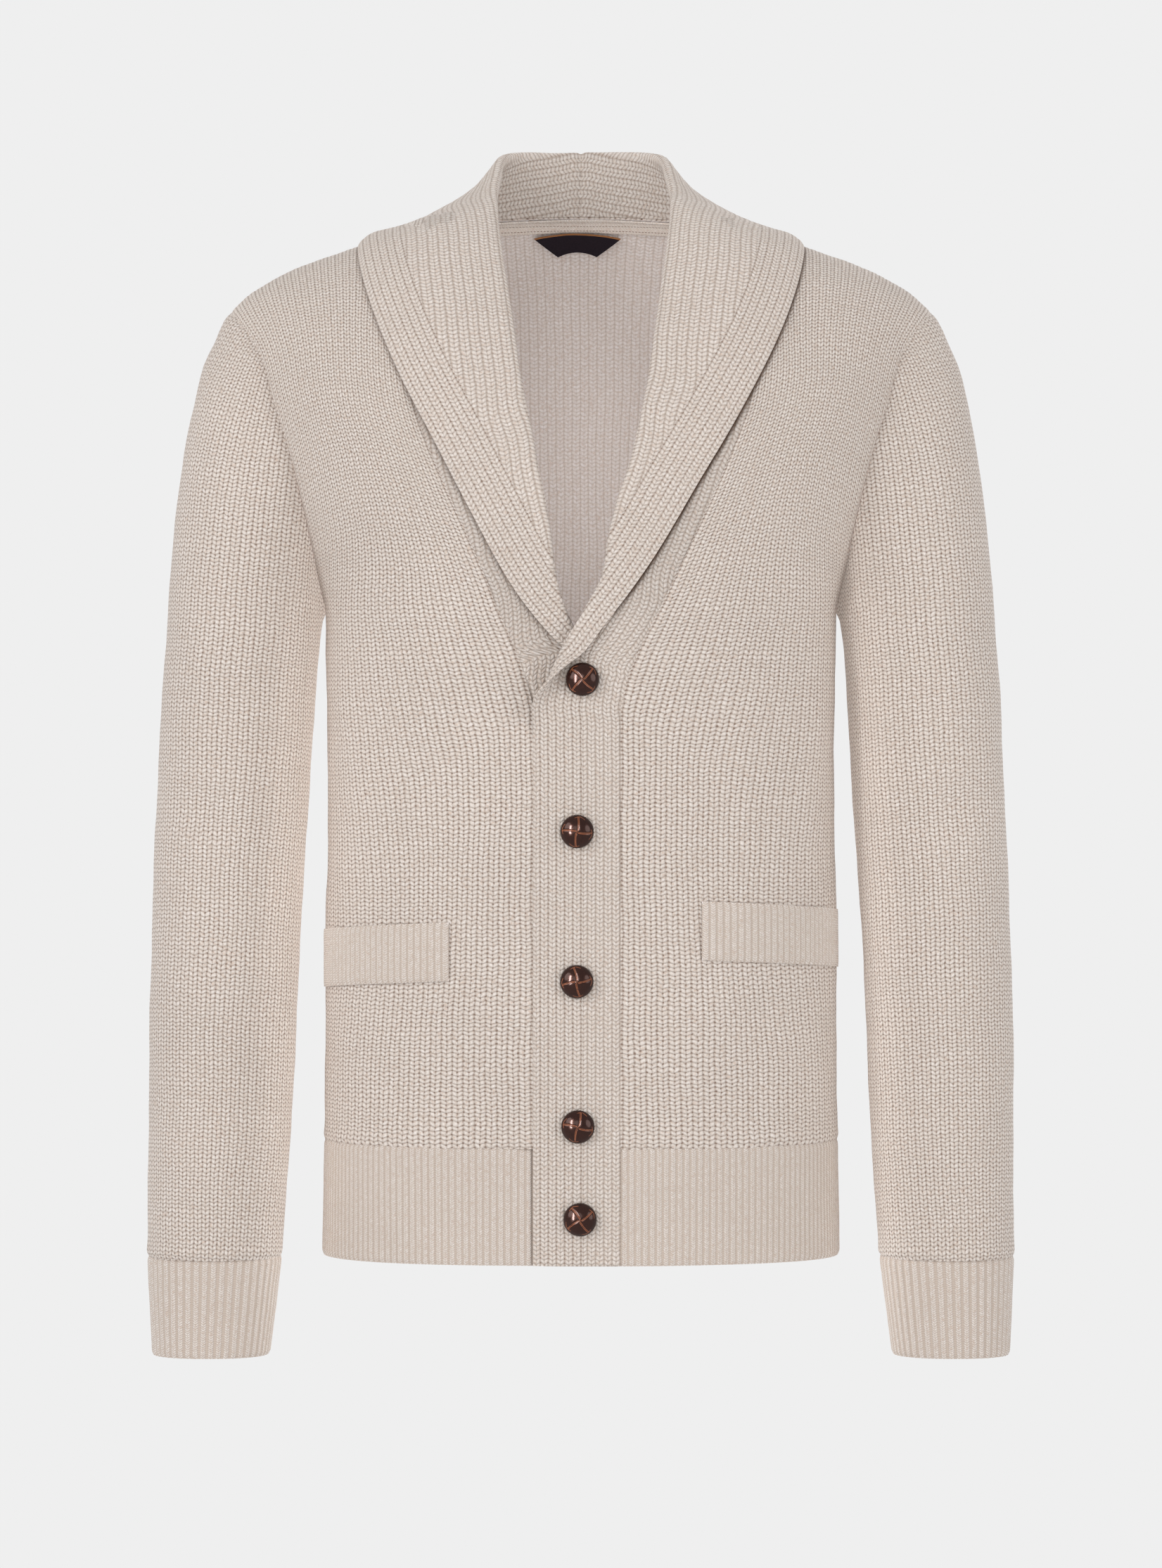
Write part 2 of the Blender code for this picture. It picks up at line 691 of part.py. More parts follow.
def collar_base(seam, roll, edge, face, seam_way, bend_part):
    """The collar's stand, its way at the roll, and the path under its fall.

    The stand leaves the seam along `seam_way`.  The fall turns back over the
    stand and, where its edge lies past the seam, goes on over the body.
    """
    reach = (CLOTH + UNDER_GAP) / 2
    bend = seam + seam_way * ((roll - seam).length * bend_part)
    way = (roll - bend).normalized()
    stand_end = roll - way * (reach + CLOTH / 2)
    stand = []
    for i in range(STAND_SPANS + 1):
        t = i / STAND_SPANS
        stand.append(seam.lerp(bend, t).lerp(bend.lerp(stand_end, t), t))
    path = stand[::-1]
    across = Vector((seam.x - roll.x, seam.z - roll.z))
    past = Vector((edge[0] - roll.x, edge[1] - roll.z)).dot(across) / across.length_squared
    if past > 1.0:
        for i in range(1, LYING_STEPS + 1):
            t = i / LYING_STEPS
            path.append(face(mix(seam.x, edge[0], t), mix(seam.z, edge[1], t)))
    else:
        path = even_points(path, UNDER_STEPS)[: round(UNDER_STEPS * past) + 1]
    return stand, way, path


def collar_line(stand, way, under, run, air):
    """Points of the collar's middle, from the seam to the outer edge.

    The fall lies on the stand and on the body, with some air under it, and
    bridges any hollow there.
    """
    half = CLOTH / 2
    reach = (CLOTH + UNDER_GAP) / 2
    points = []
    for i, point in enumerate(stand):
        points.append(point - run_normal(stand, i, run) * half)
    last = points[-1]
    lift = (way.cross(run)).normalized()
    fold_end = None
    for i in range(1, FOLD_SPANS + 1):
        turn = math.pi * i / FOLD_SPANS
        fold_end = last + way * (reach * math.sin(turn)) + lift * (reach * (1 - math.cos(turn)))
        if i < FOLD_SPANS:
            points.append(fold_end)
    over = []
    for i, point in enumerate(under):
        over.append(point + run_normal(under, i, -run) * (half + air))
    over[0] = fold_end
    for _ in range(SETTLE_ROUNDS):
        for i in range(1, len(over) - 1):
            between = (over[i - 1] + over[i + 1]) / 2
            if (between - over[i]).dot(run_normal(over, i, -run)) > 0:
                over[i] = between
    return points + even_points(over, FALL_SPANS)


def collar_rows(side, front):
    """All cross lines of one band and collar, from the hem to the middle back."""
    rows = [band_station(side, row) for row in BAND_TURN]

    def face(x, z):
        return front_face(x, z, side)

    bases = []
    seam_heights = [row[1] for row in ROWS]
    for seam_z, roll_x, roll_y, roll_z, edge_x, edge_z in COLLAR_FRONT:
        seam_line = front.points[seam_heights.index(seam_z)]
        seam_way = (seam_line[-1] - seam_line[-2]).normalized()
        roll = Vector((side * roll_x + smooth_table(ROLL_LEAN, roll_z), roll_y, roll_z))
        roll.y -= lap_step(side, roll.x, roll_z)
        edge = (side * edge_x + smooth_table(EDGE_LEAN, edge_z), edge_z)
        bases.append(collar_base(seam_line[-1], roll, edge, face, seam_way, FRONT_BEND))
    for seam_x, roll_x, roll_y, roll_z, edge_x, edge_z in COLLAR_BACK:
        seam = back_face(side * seam_x, smooth_table(BACK_NECK, seam_x))
        roll = Vector((side * roll_x + smooth_table(ROLL_LEAN, roll_z), roll_y, roll_z))
        seam_way = (roll - seam).normalized()
        edge = (side * edge_x, edge_z)
        bases.append(collar_base(seam, roll, edge, back_face, seam_way, BACK_BEND))
    for i, (stand, way, under) in enumerate(bases):
        ahead = bases[min(i + 1, len(bases) - 1)][0][-1]
        behind = bases[max(i - 1, 0)][0][-1]
        run = (ahead - behind).normalized()
        if i == len(bases) - 1:
            run = Vector((-side, 0, 0))
        across = abs(stand[-1].y - SHOULDER_Y) / SHOULDER_AIR_REACH
        air = UNDER_GAP + SHOULDER_AIR * ease(1 - across)
        rows.append(collar_line(stand, way, under, run * -side, air))
    return rows


# ------------------------------------------------------------ small pieces
def welt_grid(side, inner_x, inner_z, side_z):
    """Pocket welt on a front, from its inner end to the side seam."""
    rows = []
    for drop in (WELT_HEIGHT, 0.0):
        fine = []
        for x, part in welt_stops(inner_x, inner_z - drop, side_z - drop):
            fine.append(front_face(side * x, mix(inner_z, side_z, part) - drop, side))
        rows.append(fine)
    count = rib_columns(run_length(rows[1]), WELT_RIB_PITCH)
    return [even_points(row, count) for row in rows]


def welt_stops(inner_x, inner_z, side_z):
    """x and part of the way along a welt, closer together at the side."""
    half = smooth_table(HALF_WIDTH, (inner_z + side_z) / 2)
    first = math.acos(inner_x / half)
    last = math.acos(WELT_SIDE)
    parts = [i / FINE_STEPS for i in range(FINE_STEPS + 1)]
    return [(half * math.cos(mix(first, last, part)), part) for part in parts]


def tape_grid(back):
    """Neck tape on the inside of the back, from one neck point to the other."""
    first = len(FRONT_COLUMNS) - 1
    last = back.columns - first
    upper, middle, lower = back.points[-1], back.points[-2], back.points[-3]
    columns = range(first, last)
    return [
        [middle[j].lerp(lower[j], TAPE_BOTTOM) for j in columns],
        [middle[j].copy() for j in columns],
        [upper[j].lerp(middle[j], TAPE_TOP) for j in columns],
    ]


def label_grid():
    """Blank neck label: wide at the top, narrow and arched below."""
    grid = []
    for level in (0.0, 0.5, 1.0):
        row = []
        half = mix(LABEL_BOTTOM_X, LABEL_TOP_X, level)
        for part in (-1.0, -0.5, 0.0, 0.5, 1.0):
            drop = LABEL_HEIGHT * (1 - level) + LABEL_ARCH * (part * part + level - 1)
            row.append(back_face(LABEL_X + part * half, LABEL_TOP_Z - drop))
        grid.append(row)
    return grid


def button(name, x, z, material):
    """Domed button on the upper band, turned about its own axis."""
    outline = [(0.0, 0.0), (BUTTON_RADIUS - BUTTON_EDGE, 0.0), (BUTTON_RADIUS, BUTTON_RIM)]
    dome = BUTTON_HEIGHT - BUTTON_RIM
    for i in range(1, BUTTON_ARCS):
        turn = math.radians(90 * i / BUTTON_ARCS)
        outline.append((BUTTON_RADIUS * math.cos(turn), BUTTON_RIM + dome * math.sin(turn)))
    outline.append((0.0, BUTTON_HEIGHT))
    data = bpy.data.meshes.new(name)
    points = [Vector((radius * MM, 0, height * MM)) for radius, height in outline[::-1]]
    data.from_pydata(points, [(i, i + 1) for i in range(len(points) - 1)], [])
    data.materials.append(material)
    piece = bpy.data.objects.new(name, data)
    bpy.data.collections[COLLECTION].objects.link(piece)
    screw = piece.modifiers.new("turn", "SCREW")
    screw.steps = BUTTON_STEPS
    screw.render_steps = BUTTON_STEPS
    screw.use_merge_vertices = True
    screw.merge_threshold = 0.00001
    screw.use_normal_calculate = True
    face = front_face(x, z, 1)
    normal = face_normal(x, z, 1, BUTTON_RADIUS / 2)
    piece.rotation_mode = "QUATERNION"
    piece.rotation_quaternion = normal.to_track_quat("Z", "Y")
    piece.location = (face + normal * TRIM_GAP) * MM


# ----------------------------------------------------------------- the build
def material(name, color, roughness):
    """Principled material of one finish."""
    made = bpy.data.materials.new(name)
    made.use_nodes = True
    shader = made.node_tree.nodes["Principled BSDF"]
    shader.inputs["Base Color"].default_value = (*color, 1.0)
    shader.inputs["Roughness"].default_value = roughness
    shader.inputs["Metallic"].default_value = 0.0
    made.diffuse_color = (*color, 1.0)
    return made


def places(rows, column):
    return [(i, column) for i in rows]


def level_row(panel, i):
    """Make one row's normals level, so that its cut edge is flat."""
    for normal in panel.normals[i]:
        normal.z = 0.0
        normal.normalize()


def sew_body(fronts, back, collars, sleeves):
    """Shared normals along every seam of the body, sleeves and collar."""
    top = len(ROWS) - 1
    neck = len(FRONT_COLUMNS) - 1
    side_rows = range(UNDERARM_ROW)
    arm_rows = range(UNDERARM_ROW + 1, top)
    middle = back.columns // 2
    for side, front, collar, sleeve in zip((1, -1), fronts, collars, sleeves):
        edge = back.columns - 1 if side > 0 else 0
        step = -side
        sew((front, places(side_rows, 0)), (back, places(side_rows, edge)))
        front_arm = [(0, i) for i in range(1, len(arm_rows) + 1)]
        back_arm = [(0, sleeve.columns - i) for i in range(1, len(arm_rows) + 1)]
        sew((front, places(arm_rows, 0)), (sleeve, front_arm))
        sew((back, places(arm_rows, edge)), (sleeve, back_arm))
        for row, place in ((UNDERARM_ROW, 0), (top, len(arm_rows) + 1)):
            sew((front, [(row, 0)]), (back, [(row, edge)]), (sleeve, [(0, place)]))
        shoulder = range(1, neck)
        sew(
            (front, [(top, j) for j in shoulder]),
            (back, [(top, edge + step * j) for j in shoulder]),
        )
        rows = range(top)
        sew((front, places(rows, neck)), (collar, [(i + 1, 0) for i in rows]))
        sew((front, [(top, neck)]), (back, [(top, edge + step * neck)]), (collar, [(top + 1, 0)]))
        steps = range(1, middle - neck)
        sew(
            (back, [(top, edge + step * (neck + i)) for i in steps]),
            (collar, [(top + 1 + i, 0) for i in steps]),
        )
    last = collars[0].rows - 1
    sew((back, [(top, middle)]), (collars[0], [(last, 0)]), (collars[1], [(last, 0)]))
    columns = range(1, collars[0].columns)
    sew(*[(collar, [(last, j) for j in columns]) for collar in collars])


def seat_collar(side, front, back, collar):
    """Put the collar's sewn edge in line with the walls of front and back."""
    top = len(ROWS) - 1
    neck = len(FRONT_COLUMNS) - 1
    edge = back.columns - 1 if side > 0 else 0
    seam = [(front, i, neck) for i in range(top + 1)]
    seam += [(back, top, edge - side * (neck + i)) for i in range(1, len(COLLAR_BACK) + 1)]
    for row, (panel, i, j) in enumerate(seam, start=1):
        collar.points[row][0] = panel.points[i][j] - panel.normals[i][j] * (CLOTH / 2)


def build_garment():
    """Every piece of the cardigan."""
    cloth = material("oatmeal_knit", (0.64, 0.59, 0.52), 0.95)
    rib = material("oatmeal_rib", (0.62, 0.57, 0.50), 0.95)
    tape_cloth = material("neck_tape", (0.60, 0.56, 0.50), 0.9)
    label_cloth = material("label_satin", (0.03, 0.02, 0.03), 0.5)
    leather = material("button_leather", (0.05, 0.02, 0.012), 0.3)
    sides = ((1, "left"), (-1, "right"))
    top = len(ROWS) - 1
    back = Panel(back_grid(), flip=True)
    fronts = [Panel(front_grid(side), flip=side > 0) for side, _ in sides]
    collars = [Panel(collar_rows(side, front), flip=side > 0) for (side, _), front in zip(sides, fronts)]
    sleeves = []
    for (side, _), front in zip(sides, fronts):
        edge = back.columns - 1 if side > 0 else 0
        armhole = [front.points[i][0] for i in range(UNDERARM_ROW, top + 1)]
        armhole += [back.points[i][edge] for i in range(top - 1, UNDERARM_ROW, -1)]
        sleeves.append(Panel(sleeve_grid(side, armhole), closed=True, flip=side > 0))
    sew_body(fronts, back, collars, sleeves)
    for (side, _), front, collar in zip(sides, fronts, collars):
        seat_collar(side, front, back, collar)

    halves = [smooth_table(HALF_WIDTH, z) for z in (HEM_Z, HEM_SEAM_Z)]
    hem_back = Panel(hem_grid([-x for x in halves], halves, back_face), flip=True)
    hems = []
    for side, _ in sides:
        ends = [neckline_point(side, z).x for z in (HEM_Z, HEM_SEAM_Z)]

        def face(x, z, side=side):
            return front_face(x, z, side)

        grid = hem_grid([side * x for x in halves], ends, face)
        hems.append(Panel(grid, flip=side > 0))
    for side, hem, collar in zip((1, -1), hems, collars):
        edge = hem_back.columns - 1 if side > 0 else 0
        sew((hem, [(0, 0), (1, 0)]), (hem_back, [(0, edge), (1, edge)]))
        sew((hem, [(0, hem.columns - 1)]), (collar, [(0, 0)]))
        hem.normals[1][-1] = collar.normals[1][0].copy()
    cuffs = [Panel(cuff_grid(side), closed=True, flip=side < 0) for side, _ in sides]
    for panel, row in [(back, 0), (hem_back, 1)] + [(hem, 1) for hem in hems]:
        level_row(panel, row)
    for front in fronts:
        level_row(front, 0)
    for sleeve, cuff in zip(sleeves, cuffs):
        level_row(sleeve, sleeve.rows - 1)
        level_row(cuff, 1)

    wall("back", back, cloth, cut=("bottom", "top", "start", "end"))
    wall("hem_back", hem_back, rib, cut=("top", "start", "end"), rise=rib_rise(hem_back.columns))
    for number, (side, word) in enumerate(sides):
        wall("front_" + word, fronts[number], cloth, cut=("bottom", "top", "start", "end"))
        wall("sleeve_" + word, sleeves[number], cloth, cut=("bottom", "top"))
        cuff = cuffs[number]
        wall("cuff_" + word, cuff, rib, cut=("top",), rise=rib_rise(cuff.columns, closed=True))
        hem = hems[number]
        wall("hem_front_" + word, hem, rib, cut=("top", "start", "end"), rise=rib_rise(hem.columns))
        half = CLOTH / 2
        wall("collar_" + word, collars[number], rib, half, half, cut=("top", "start"))
    for word, inner_x, inner_z, side_z in WELTS:
        side = 1 if word == "left" else -1
        welt = Panel(welt_grid(side, inner_x, inner_z, side_z), flip=side < 0)
        wall(
            "pocket_welt_" + word, welt, rib, WELT_GAP + WELT_CLOTH, -WELT_GAP,
            rise=rib_rise(welt.columns),
        )
    under = CLOTH + TRIM_GAP
    tape = Panel(tape_grid(back), flip=True)
    wall("neck_tape", tape, tape_cloth, -under, under + TAPE_CLOTH)
    under += TAPE_CLOTH + LABEL_GAP
    label = Panel(label_grid(), flip=True)
    wall("neck_label", label, label_cloth, -under, under + LABEL_CLOTH)
    for number, (x, z) in enumerate(BUTTON_SPOTS, start=1):
        button("button_" + str(number), x, z, leather)


def main():
    """Clear the scene and build the garment in its own collection."""
    for old in list(bpy.data.objects):
        bpy.data.objects.remove(old, do_unlink=True)
    collection = bpy.data.collections.new(COLLECTION)
    bpy.context.scene.collection.children.link(collection)
    build_garment()


main()
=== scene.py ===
"""Looks of the shawl collar cardigan: knitted pieces, trim, buttons and stage.

Every knitted piece is a fine sheet on the same tables of sizes as the plain
walls that it stands for.  Its ribs and wales are raised in the mesh, and its
stitches are drawn and raised by the material, which counts wales and rows on
the piece's own UV map.  Tables and sizes are in millimetres.
"""

import json
import math

import bmesh
import bpy
import numpy as np
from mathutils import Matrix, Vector, kdtree

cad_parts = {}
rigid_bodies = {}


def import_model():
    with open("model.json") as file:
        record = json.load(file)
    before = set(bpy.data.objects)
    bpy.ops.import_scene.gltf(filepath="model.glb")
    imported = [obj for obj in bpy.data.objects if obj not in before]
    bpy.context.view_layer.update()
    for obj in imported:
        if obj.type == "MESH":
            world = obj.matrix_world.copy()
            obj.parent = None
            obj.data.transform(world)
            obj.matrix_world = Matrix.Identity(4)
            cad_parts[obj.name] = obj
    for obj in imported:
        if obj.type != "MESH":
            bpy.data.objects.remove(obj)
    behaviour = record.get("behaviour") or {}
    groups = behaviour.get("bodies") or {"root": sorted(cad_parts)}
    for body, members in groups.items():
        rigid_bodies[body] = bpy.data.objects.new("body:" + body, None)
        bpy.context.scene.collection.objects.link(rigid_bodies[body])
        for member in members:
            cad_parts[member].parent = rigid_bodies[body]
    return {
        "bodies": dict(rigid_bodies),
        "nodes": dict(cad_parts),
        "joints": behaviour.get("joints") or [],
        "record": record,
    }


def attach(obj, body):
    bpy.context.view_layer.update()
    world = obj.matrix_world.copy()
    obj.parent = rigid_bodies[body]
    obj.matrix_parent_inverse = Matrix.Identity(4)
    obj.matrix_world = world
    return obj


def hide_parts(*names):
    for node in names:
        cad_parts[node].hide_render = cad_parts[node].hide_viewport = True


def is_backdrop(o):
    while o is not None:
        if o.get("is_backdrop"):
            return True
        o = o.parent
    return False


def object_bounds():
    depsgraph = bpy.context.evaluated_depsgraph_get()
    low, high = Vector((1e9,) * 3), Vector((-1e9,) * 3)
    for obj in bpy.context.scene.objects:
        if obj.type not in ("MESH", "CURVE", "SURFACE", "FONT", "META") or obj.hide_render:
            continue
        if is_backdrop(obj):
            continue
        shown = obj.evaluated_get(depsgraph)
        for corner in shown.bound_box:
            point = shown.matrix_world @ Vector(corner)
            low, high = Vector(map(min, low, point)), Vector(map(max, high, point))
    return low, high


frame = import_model()
frame_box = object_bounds()

bl_info = {
    "name": "Shawl Collar Cardigan",
    "version": (1, 0, 0),
    "blender": (4, 5, 0),
    "location": "View3D > Sidebar > Cardigan",
    "description": "Builds the knitted pieces, buttons and stage of a shawl collar cardigan",
    "category": "Object",
}

MM = 0.001

# ---------------------------------------------------------------- sizes, mm
CLOTH = 3.0                 # wall of the knitted cloth
SEAM_GAP = 0.3              # between two sewn edges
UNDER_GAP = 1.5             # air between the collar's fall and what it lies on
WELT_GAP = 0.6              # air between a pocket welt and the front
WELT_CLOTH = 2.4
TRIM_GAP = 0.4              # air between tape or button and the cloth
LABEL_GAP = 0.9             # air between the label and the tape
SHOULDER_AIR = 1.8          # more air under the fall where it crosses the shoulder
SHOULDER_AIR_REACH = 60.0   # how far before and behind the shoulder seam

HEM_Z = -655.0              # bottom edge of the body
HEM_SEAM_Z = -583.0         # top of the hem rib
CUFF_SEAM_Z = -655.0
CUFF_Z = -716.0
UNDERARM_Z = -250.0
TIP_X = 221.0               # outer end of the shoulder seam
TIP_Z = -60.0
NECK_X = 98.0               # inner end of the shoulder seam
SHOULDER_Y = 5.0            # depth of the shoulder seam

ROUNDNESS = 2.45            # exponent of the torso's oval sections
SHOULDER_ROLL = 110.0       # height over which the shoulder rounds over
ROLL_POWER = 2.2

SHOULDER_SPREAD = 90.0      # height over which the rows bend up to the shoulder
LAP_START = 96.0            # distance from the middle where the fronts part
LAP_SPAN = 62.0             # width over which they do

BAND_WIDTH = 53.8

RIB_PITCH = 4.35            # hem rib, one wale
RIB_RISE = 0.5
WELT_RIB_PITCH = 4.6
CUFF_RIB_PITCH = 5.4
FINE_STEPS = 240            # points on a section before it is divided into ribs
CUFF_STEPS = 480

BUTTON_RADIUS = 10.4
BUTTON_HEIGHT = 7.2
BUTTON_RIM = 1.6            # height of the widest ring
BUTTON_EDGE = 1.3           # how far the flat underside is inside that ring
BUTTON_STEPS = 16
BUTTON_ARCS = 5
BUTTON_SPOTS = (            # x, z of each button's centre
    (0.9, -295.0),
    (-2.4, -388.0),
    (-2.6, -480.0),
    (-1.9, -569.0),
    (-0.6, -626.0),
)

# --------------------------------------------------------- tables, z upward
# height z: half width of the torso's oval section, side to side
HALF_WIDTH = (
    (-655, 163.0), (-610, 162.2), (-570, 161.8), (-503, 161.0), (-437, 160.8),
    (-397, 159.6), (-330, 159.6), (-290, 160.4), (-250, 161.0), (-230, 166.0),
    (-207, 174.0), (-185, 183.0), (-164, 192.0), (-100, 215.0), (-80, 224.0),
    (-63, 236.0), (0, 252.0),
)
# height z: how far the chest stands forward of the side line
FRONT_DEPTH = (
    (-655, 105.0), (-583, 108.0), (-430, 112.0), (-250, 118.0), (-200, 118.0),
    (-150, 113.0), (-100, 101.0), (-50, 88.0), (0, 80.0), (40, 76.0),
)
# height z: how far the back stands behind the side line
BACK_DEPTH = (
    (-655, 100.0), (-583, 97.0), (-430, 87.0), (-300, 98.0), (-200, 113.0),
    (-150, 115.0), (-100, 109.0), (-50, 98.0), (0, 85.0), (40, 80.0),
)
# distance x from the middle: height of the shoulder's ridge
SHOULDER_LINE = (
    (0, 32.0), (30, 26.0), (60, 15.0), (85, 4.5), (98, 0.0), (115, -7.0),
    (145, -20.5), (170, -29.0), (188, -36.5), (208, -48.0), (221, -60.0),
)
# distance x from the middle: height of the back neck seam
BACK_NECK = ((0, 7.2), (27, 6.4), (52, 4.6), (75, 2.5), (90, 0.9), (98, 0.0))

# height z: x of the armhole seam
ARMHOLE = (
    (-250, 161.0), (-232, 164.8), (-210, 168.6), (-188, 173.0), (-168, 177.8),
    (-144, 184.0), (-125, 190.8), (-100, 197.3), (-83, 204.5), (-76, 209.5),
    (-70, 213.5), (-64, 218.5), (-60, 221.0),
)
# height z: x of the seam between a front and its band or collar
NECKLINE = (
    (-655, 26.9), (-315, 26.9), (-303, 29.0), (-287, 34.0), (-271, 40.6),
    (-250, 50.5), (-230, 59.3), (-216, 65.5), (-203, 71.5), (-184, 80.0),
    (-165, 88.5), (-147, 96.0), (-125, 103.5), (-108, 106.5), (-90, 106.5),
    (-60, 105.0), (-30, 102.0), (0, 98.0),
)
# height z: how far the front opening is off the middle, towards +x
SEAM_LEAN = ((-655, -2.6), (-300, -2.6), (-250, -1.5), (-230, -0.4), (-200, 0.0), (50, 0.0))
ROLL_LEAN = (
    (-655, -2.6), (-250, -2.6), (-228, -1.5), (-185, 0.0), (-145, 2.0),
    (0, 1.8), (46, 0.9), (49, 0.0),
)
EDGE_LEAN = (
    (-655, -2.6), (-285, -2.8), (-252, -5.0), (-226, -4.5), (-193, -3.5),
    (-169, -2.5), (-138, -1.0), (-60, 0.0), (50, 0.0),
)
# height z: half the step between the lapped fronts, under and over
LAP = ((-655, 2.0), (-335, 2.0), (-308, 4.8), (-262, 4.8), (-225, 1.5), (-190, 0.0), (50, 0.0))

# rows of the front and back grids: height at the side or armhole, and height
# at the front's inner seam
ROWS = (
    (-583, -583), (-545, -500), (-508, -420), (-472, -350), (-437, -325),
    (-403, -311), (-370, -299), (-338, -290), (-307, -277), (-278, -264),
    (-250, -250), (-232, -230), (-213, -205), (-194, -184), (-175, -165),
    (-156, -147), (-137, -125), (-118, -100), (-100, -72), (-84, -42),
    (-71, -18), (-63.5, -5), (-60, 0),
)
UNDERARM_ROW = 10
# columns of a front, from the side towards the middle, as parts of the way
FRONT_COLUMNS = (0.0, 0.024, 0.096, 0.229, 0.41, 0.602, 0.807, 1.0)

# collar stations up the front: height at the seam, then the roll's x, y, z
# and the outer edge's x, z
COLLAR_FRONT = (
    (-277, -1.4, -118.0, -261.0, 12.7, -266.5),
    (-264, 7.6, -118.6, -246.0, 23.6, -252.2),
    (-250, 13.4, -118.6, -230.0, 33.6, -239.1),
    (-230, 17.0, -116.6, -208.5, 44.7, -222.3),
    (-205, 22.3, -112.5, -182.5, 58.8, -198.8),
    (-184, 28.0, -108.0, -163.0, 70.4, -180.2),
    (-165, 32.0, -102.0, -143.5, 79.8, -161.9),
    (-147, 36.0, -95.0, -125.0, 90.3, -144.6),
    (-125, 40.0, -86.0, -104.0, 102.5, -124.2),
    (-100, 43.8, -72.5, -78.0, 114.3, -100.6),
    (-72, 48.0, -57.0, -52.0, 124.6, -76.5),
    (-42, 51.8, -40.0, -27.0, 133.5, -52.0),
    (-18, 54.2, -21.0, -7.0, 138.0, -34.0),
    (-5, 54.6, -8.0, 5.0, 139.6, -23.0),
    (0, 54.7, 4.0, 14.5, 140.0, -17.9),
)
# collar stations round the back: x at the seam, then as above
COLLAR_BACK = (
    (90, 54.0, 20.0, 28.0, 137.0, -20.5),
    (75, 52.0, 44.0, 42.5, 122.0, -27.0),
    (52, 42.5, 61.0, 47.6, 90.0, -34.0),
    (27, 24.0, 72.5, 49.0, 48.0, -39.0),
    (0, 0.0, 76.0, 49.3, 0.0, -41.0),
)
# stations where the band's free edge rolls up into the collar: height at the
# seam, tilt of the row, turn of the edge, and the turned width of the upper
# and of the lower lap, in degrees and mm
BAND_TURN = (
    (-655, 0.0, 0.0, 6.0, 2.0),
    (-583, 0.0, 0.0, 6.0, 2.0),
    (-500, 0.0, 0.0, 6.0, 2.0),
    (-420, 0.0, 0.0, 6.0, 2.0),
    (-350, 0.0, 0.0, 6.0, 2.0),
    (-325, 0.0, 0.0, 6.0, 2.0),
    (-311, 4.0, 45.0, 6.5, 1.0),
    (-299, 10.0, 115.0, 7.5, 1.5),
    (-290, 16.0, 180.0, 9.0, 6.0),
)
BAND_STAND = 41.5           # width of the band's flat part, to the turn

STAND_SPANS = 4
FOLD_SPANS = 4
FALL_SPANS = 5
FRONT_BEND = 0.42           # part of the stand that still lies in the front's plane
BACK_BEND = 0.3
LYING_STEPS = 6             # points of the fall's path over the body
UNDER_STEPS = 20            # points of its path over the stand
SETTLE_ROUNDS = 40          # rounds that smooth the fall's hollows

# sleeve rings: height at the outer side, height at the inner side, half
# depth front to back, and depth of the middle
SLEEVE_RINGS = (
    (-60, -250, 52.0, 2.0), (-66, -251.2, 54.5, 2.0), (-78, -252.6, 56.5, 2.0),
    (-96, -254.2, 58.0, 1.0), (-120, -256, 59.0, 0.0), (-150, -258, 60.0, 0.0),
    (-185, -260.5, 60.0, 0.0), (-222, -264, 59.5, -1.0), (-262, -273, 59.0, -2.0),
    (-305, -308, 58.0, -3.0), (-350, -352, 56.0, -5.0), (-400, -401, 54.0, -8.0),
    (-455, -455, 52.0, -12.0), (-510, -510, 49.5, -16.0), (-565, -565, 46.5, -20.0),
    (-615, -615, 43.0, -25.0), (-655, -655, 39.5, -29.0),
)
SLEEVE_OUTER = (
    (-720, 268.0), (-701, 269.5), (-674, 270.9), (-648, 271.6), (-570, 271.7),
    (-503, 271.6), (-437, 269.5), (-397, 268.8), (-330, 265.6), (-290, 264.1),
    (-263, 261.4), (-237, 260.0), (-210, 257.7), (-183, 255.0), (-157, 251.7),
    (-130, 246.8), (-117, 244.0), (-103, 241.0), (-90, 237.0), (-74, 229.4),
    (-66, 226.0), (-60, 221.0),
)
SLEEVE_INNER = (
    (-720, 195.5), (-701, 193.0), (-674, 189.3), (-648, 187.1), (-609, 184.5),
    (-570, 182.0), (-503, 179.2), (-437, 176.4), (-397, 173.8), (-330, 169.6),
    (-290, 167.1), (-263, 164.7), (-256, 163.6), (-250, 161.0),
)
SLEEVE_ROUNDNESS = 2.2
EVEN_RINGS = 7              # rings over which the columns spread out evenly
FADE_RINGS = 5              # rings over which the armhole's own shape fades
CUFF_DEPTHS = ((-720, 33.5), (-655, 38.0))
CUFF_MIDDLE = ((-720, -33.0), (-655, -29.0))

# pocket welts: side, x of the inner end, height of the top at the inner end
# and at the side seam
WELTS = (
    ("left", 74.0, -431.0, -438.0),
    ("right", 81.0, -444.0, -450.5),
)
WELT_HEIGHT = 36.0
WELT_SIDE = 0.997           # part of the half width that a welt reaches

TAPE_CLOTH = 1.2
TAPE_TOP = 0.12             # parts of a row that the tape's edges lie below its row
TAPE_BOTTOM = 0.24
LABEL_X = -2.3              # middle of the label
LABEL_TOP_Z = -0.8
LABEL_TOP_X = 28.5          # half width at the top
LABEL_BOTTOM_X = 13.0       # half width at the bottom
LABEL_HEIGHT = 14.0
LABEL_ARCH = 3.2            # rise of the middle over the corners
LABEL_CLOTH = 1.0


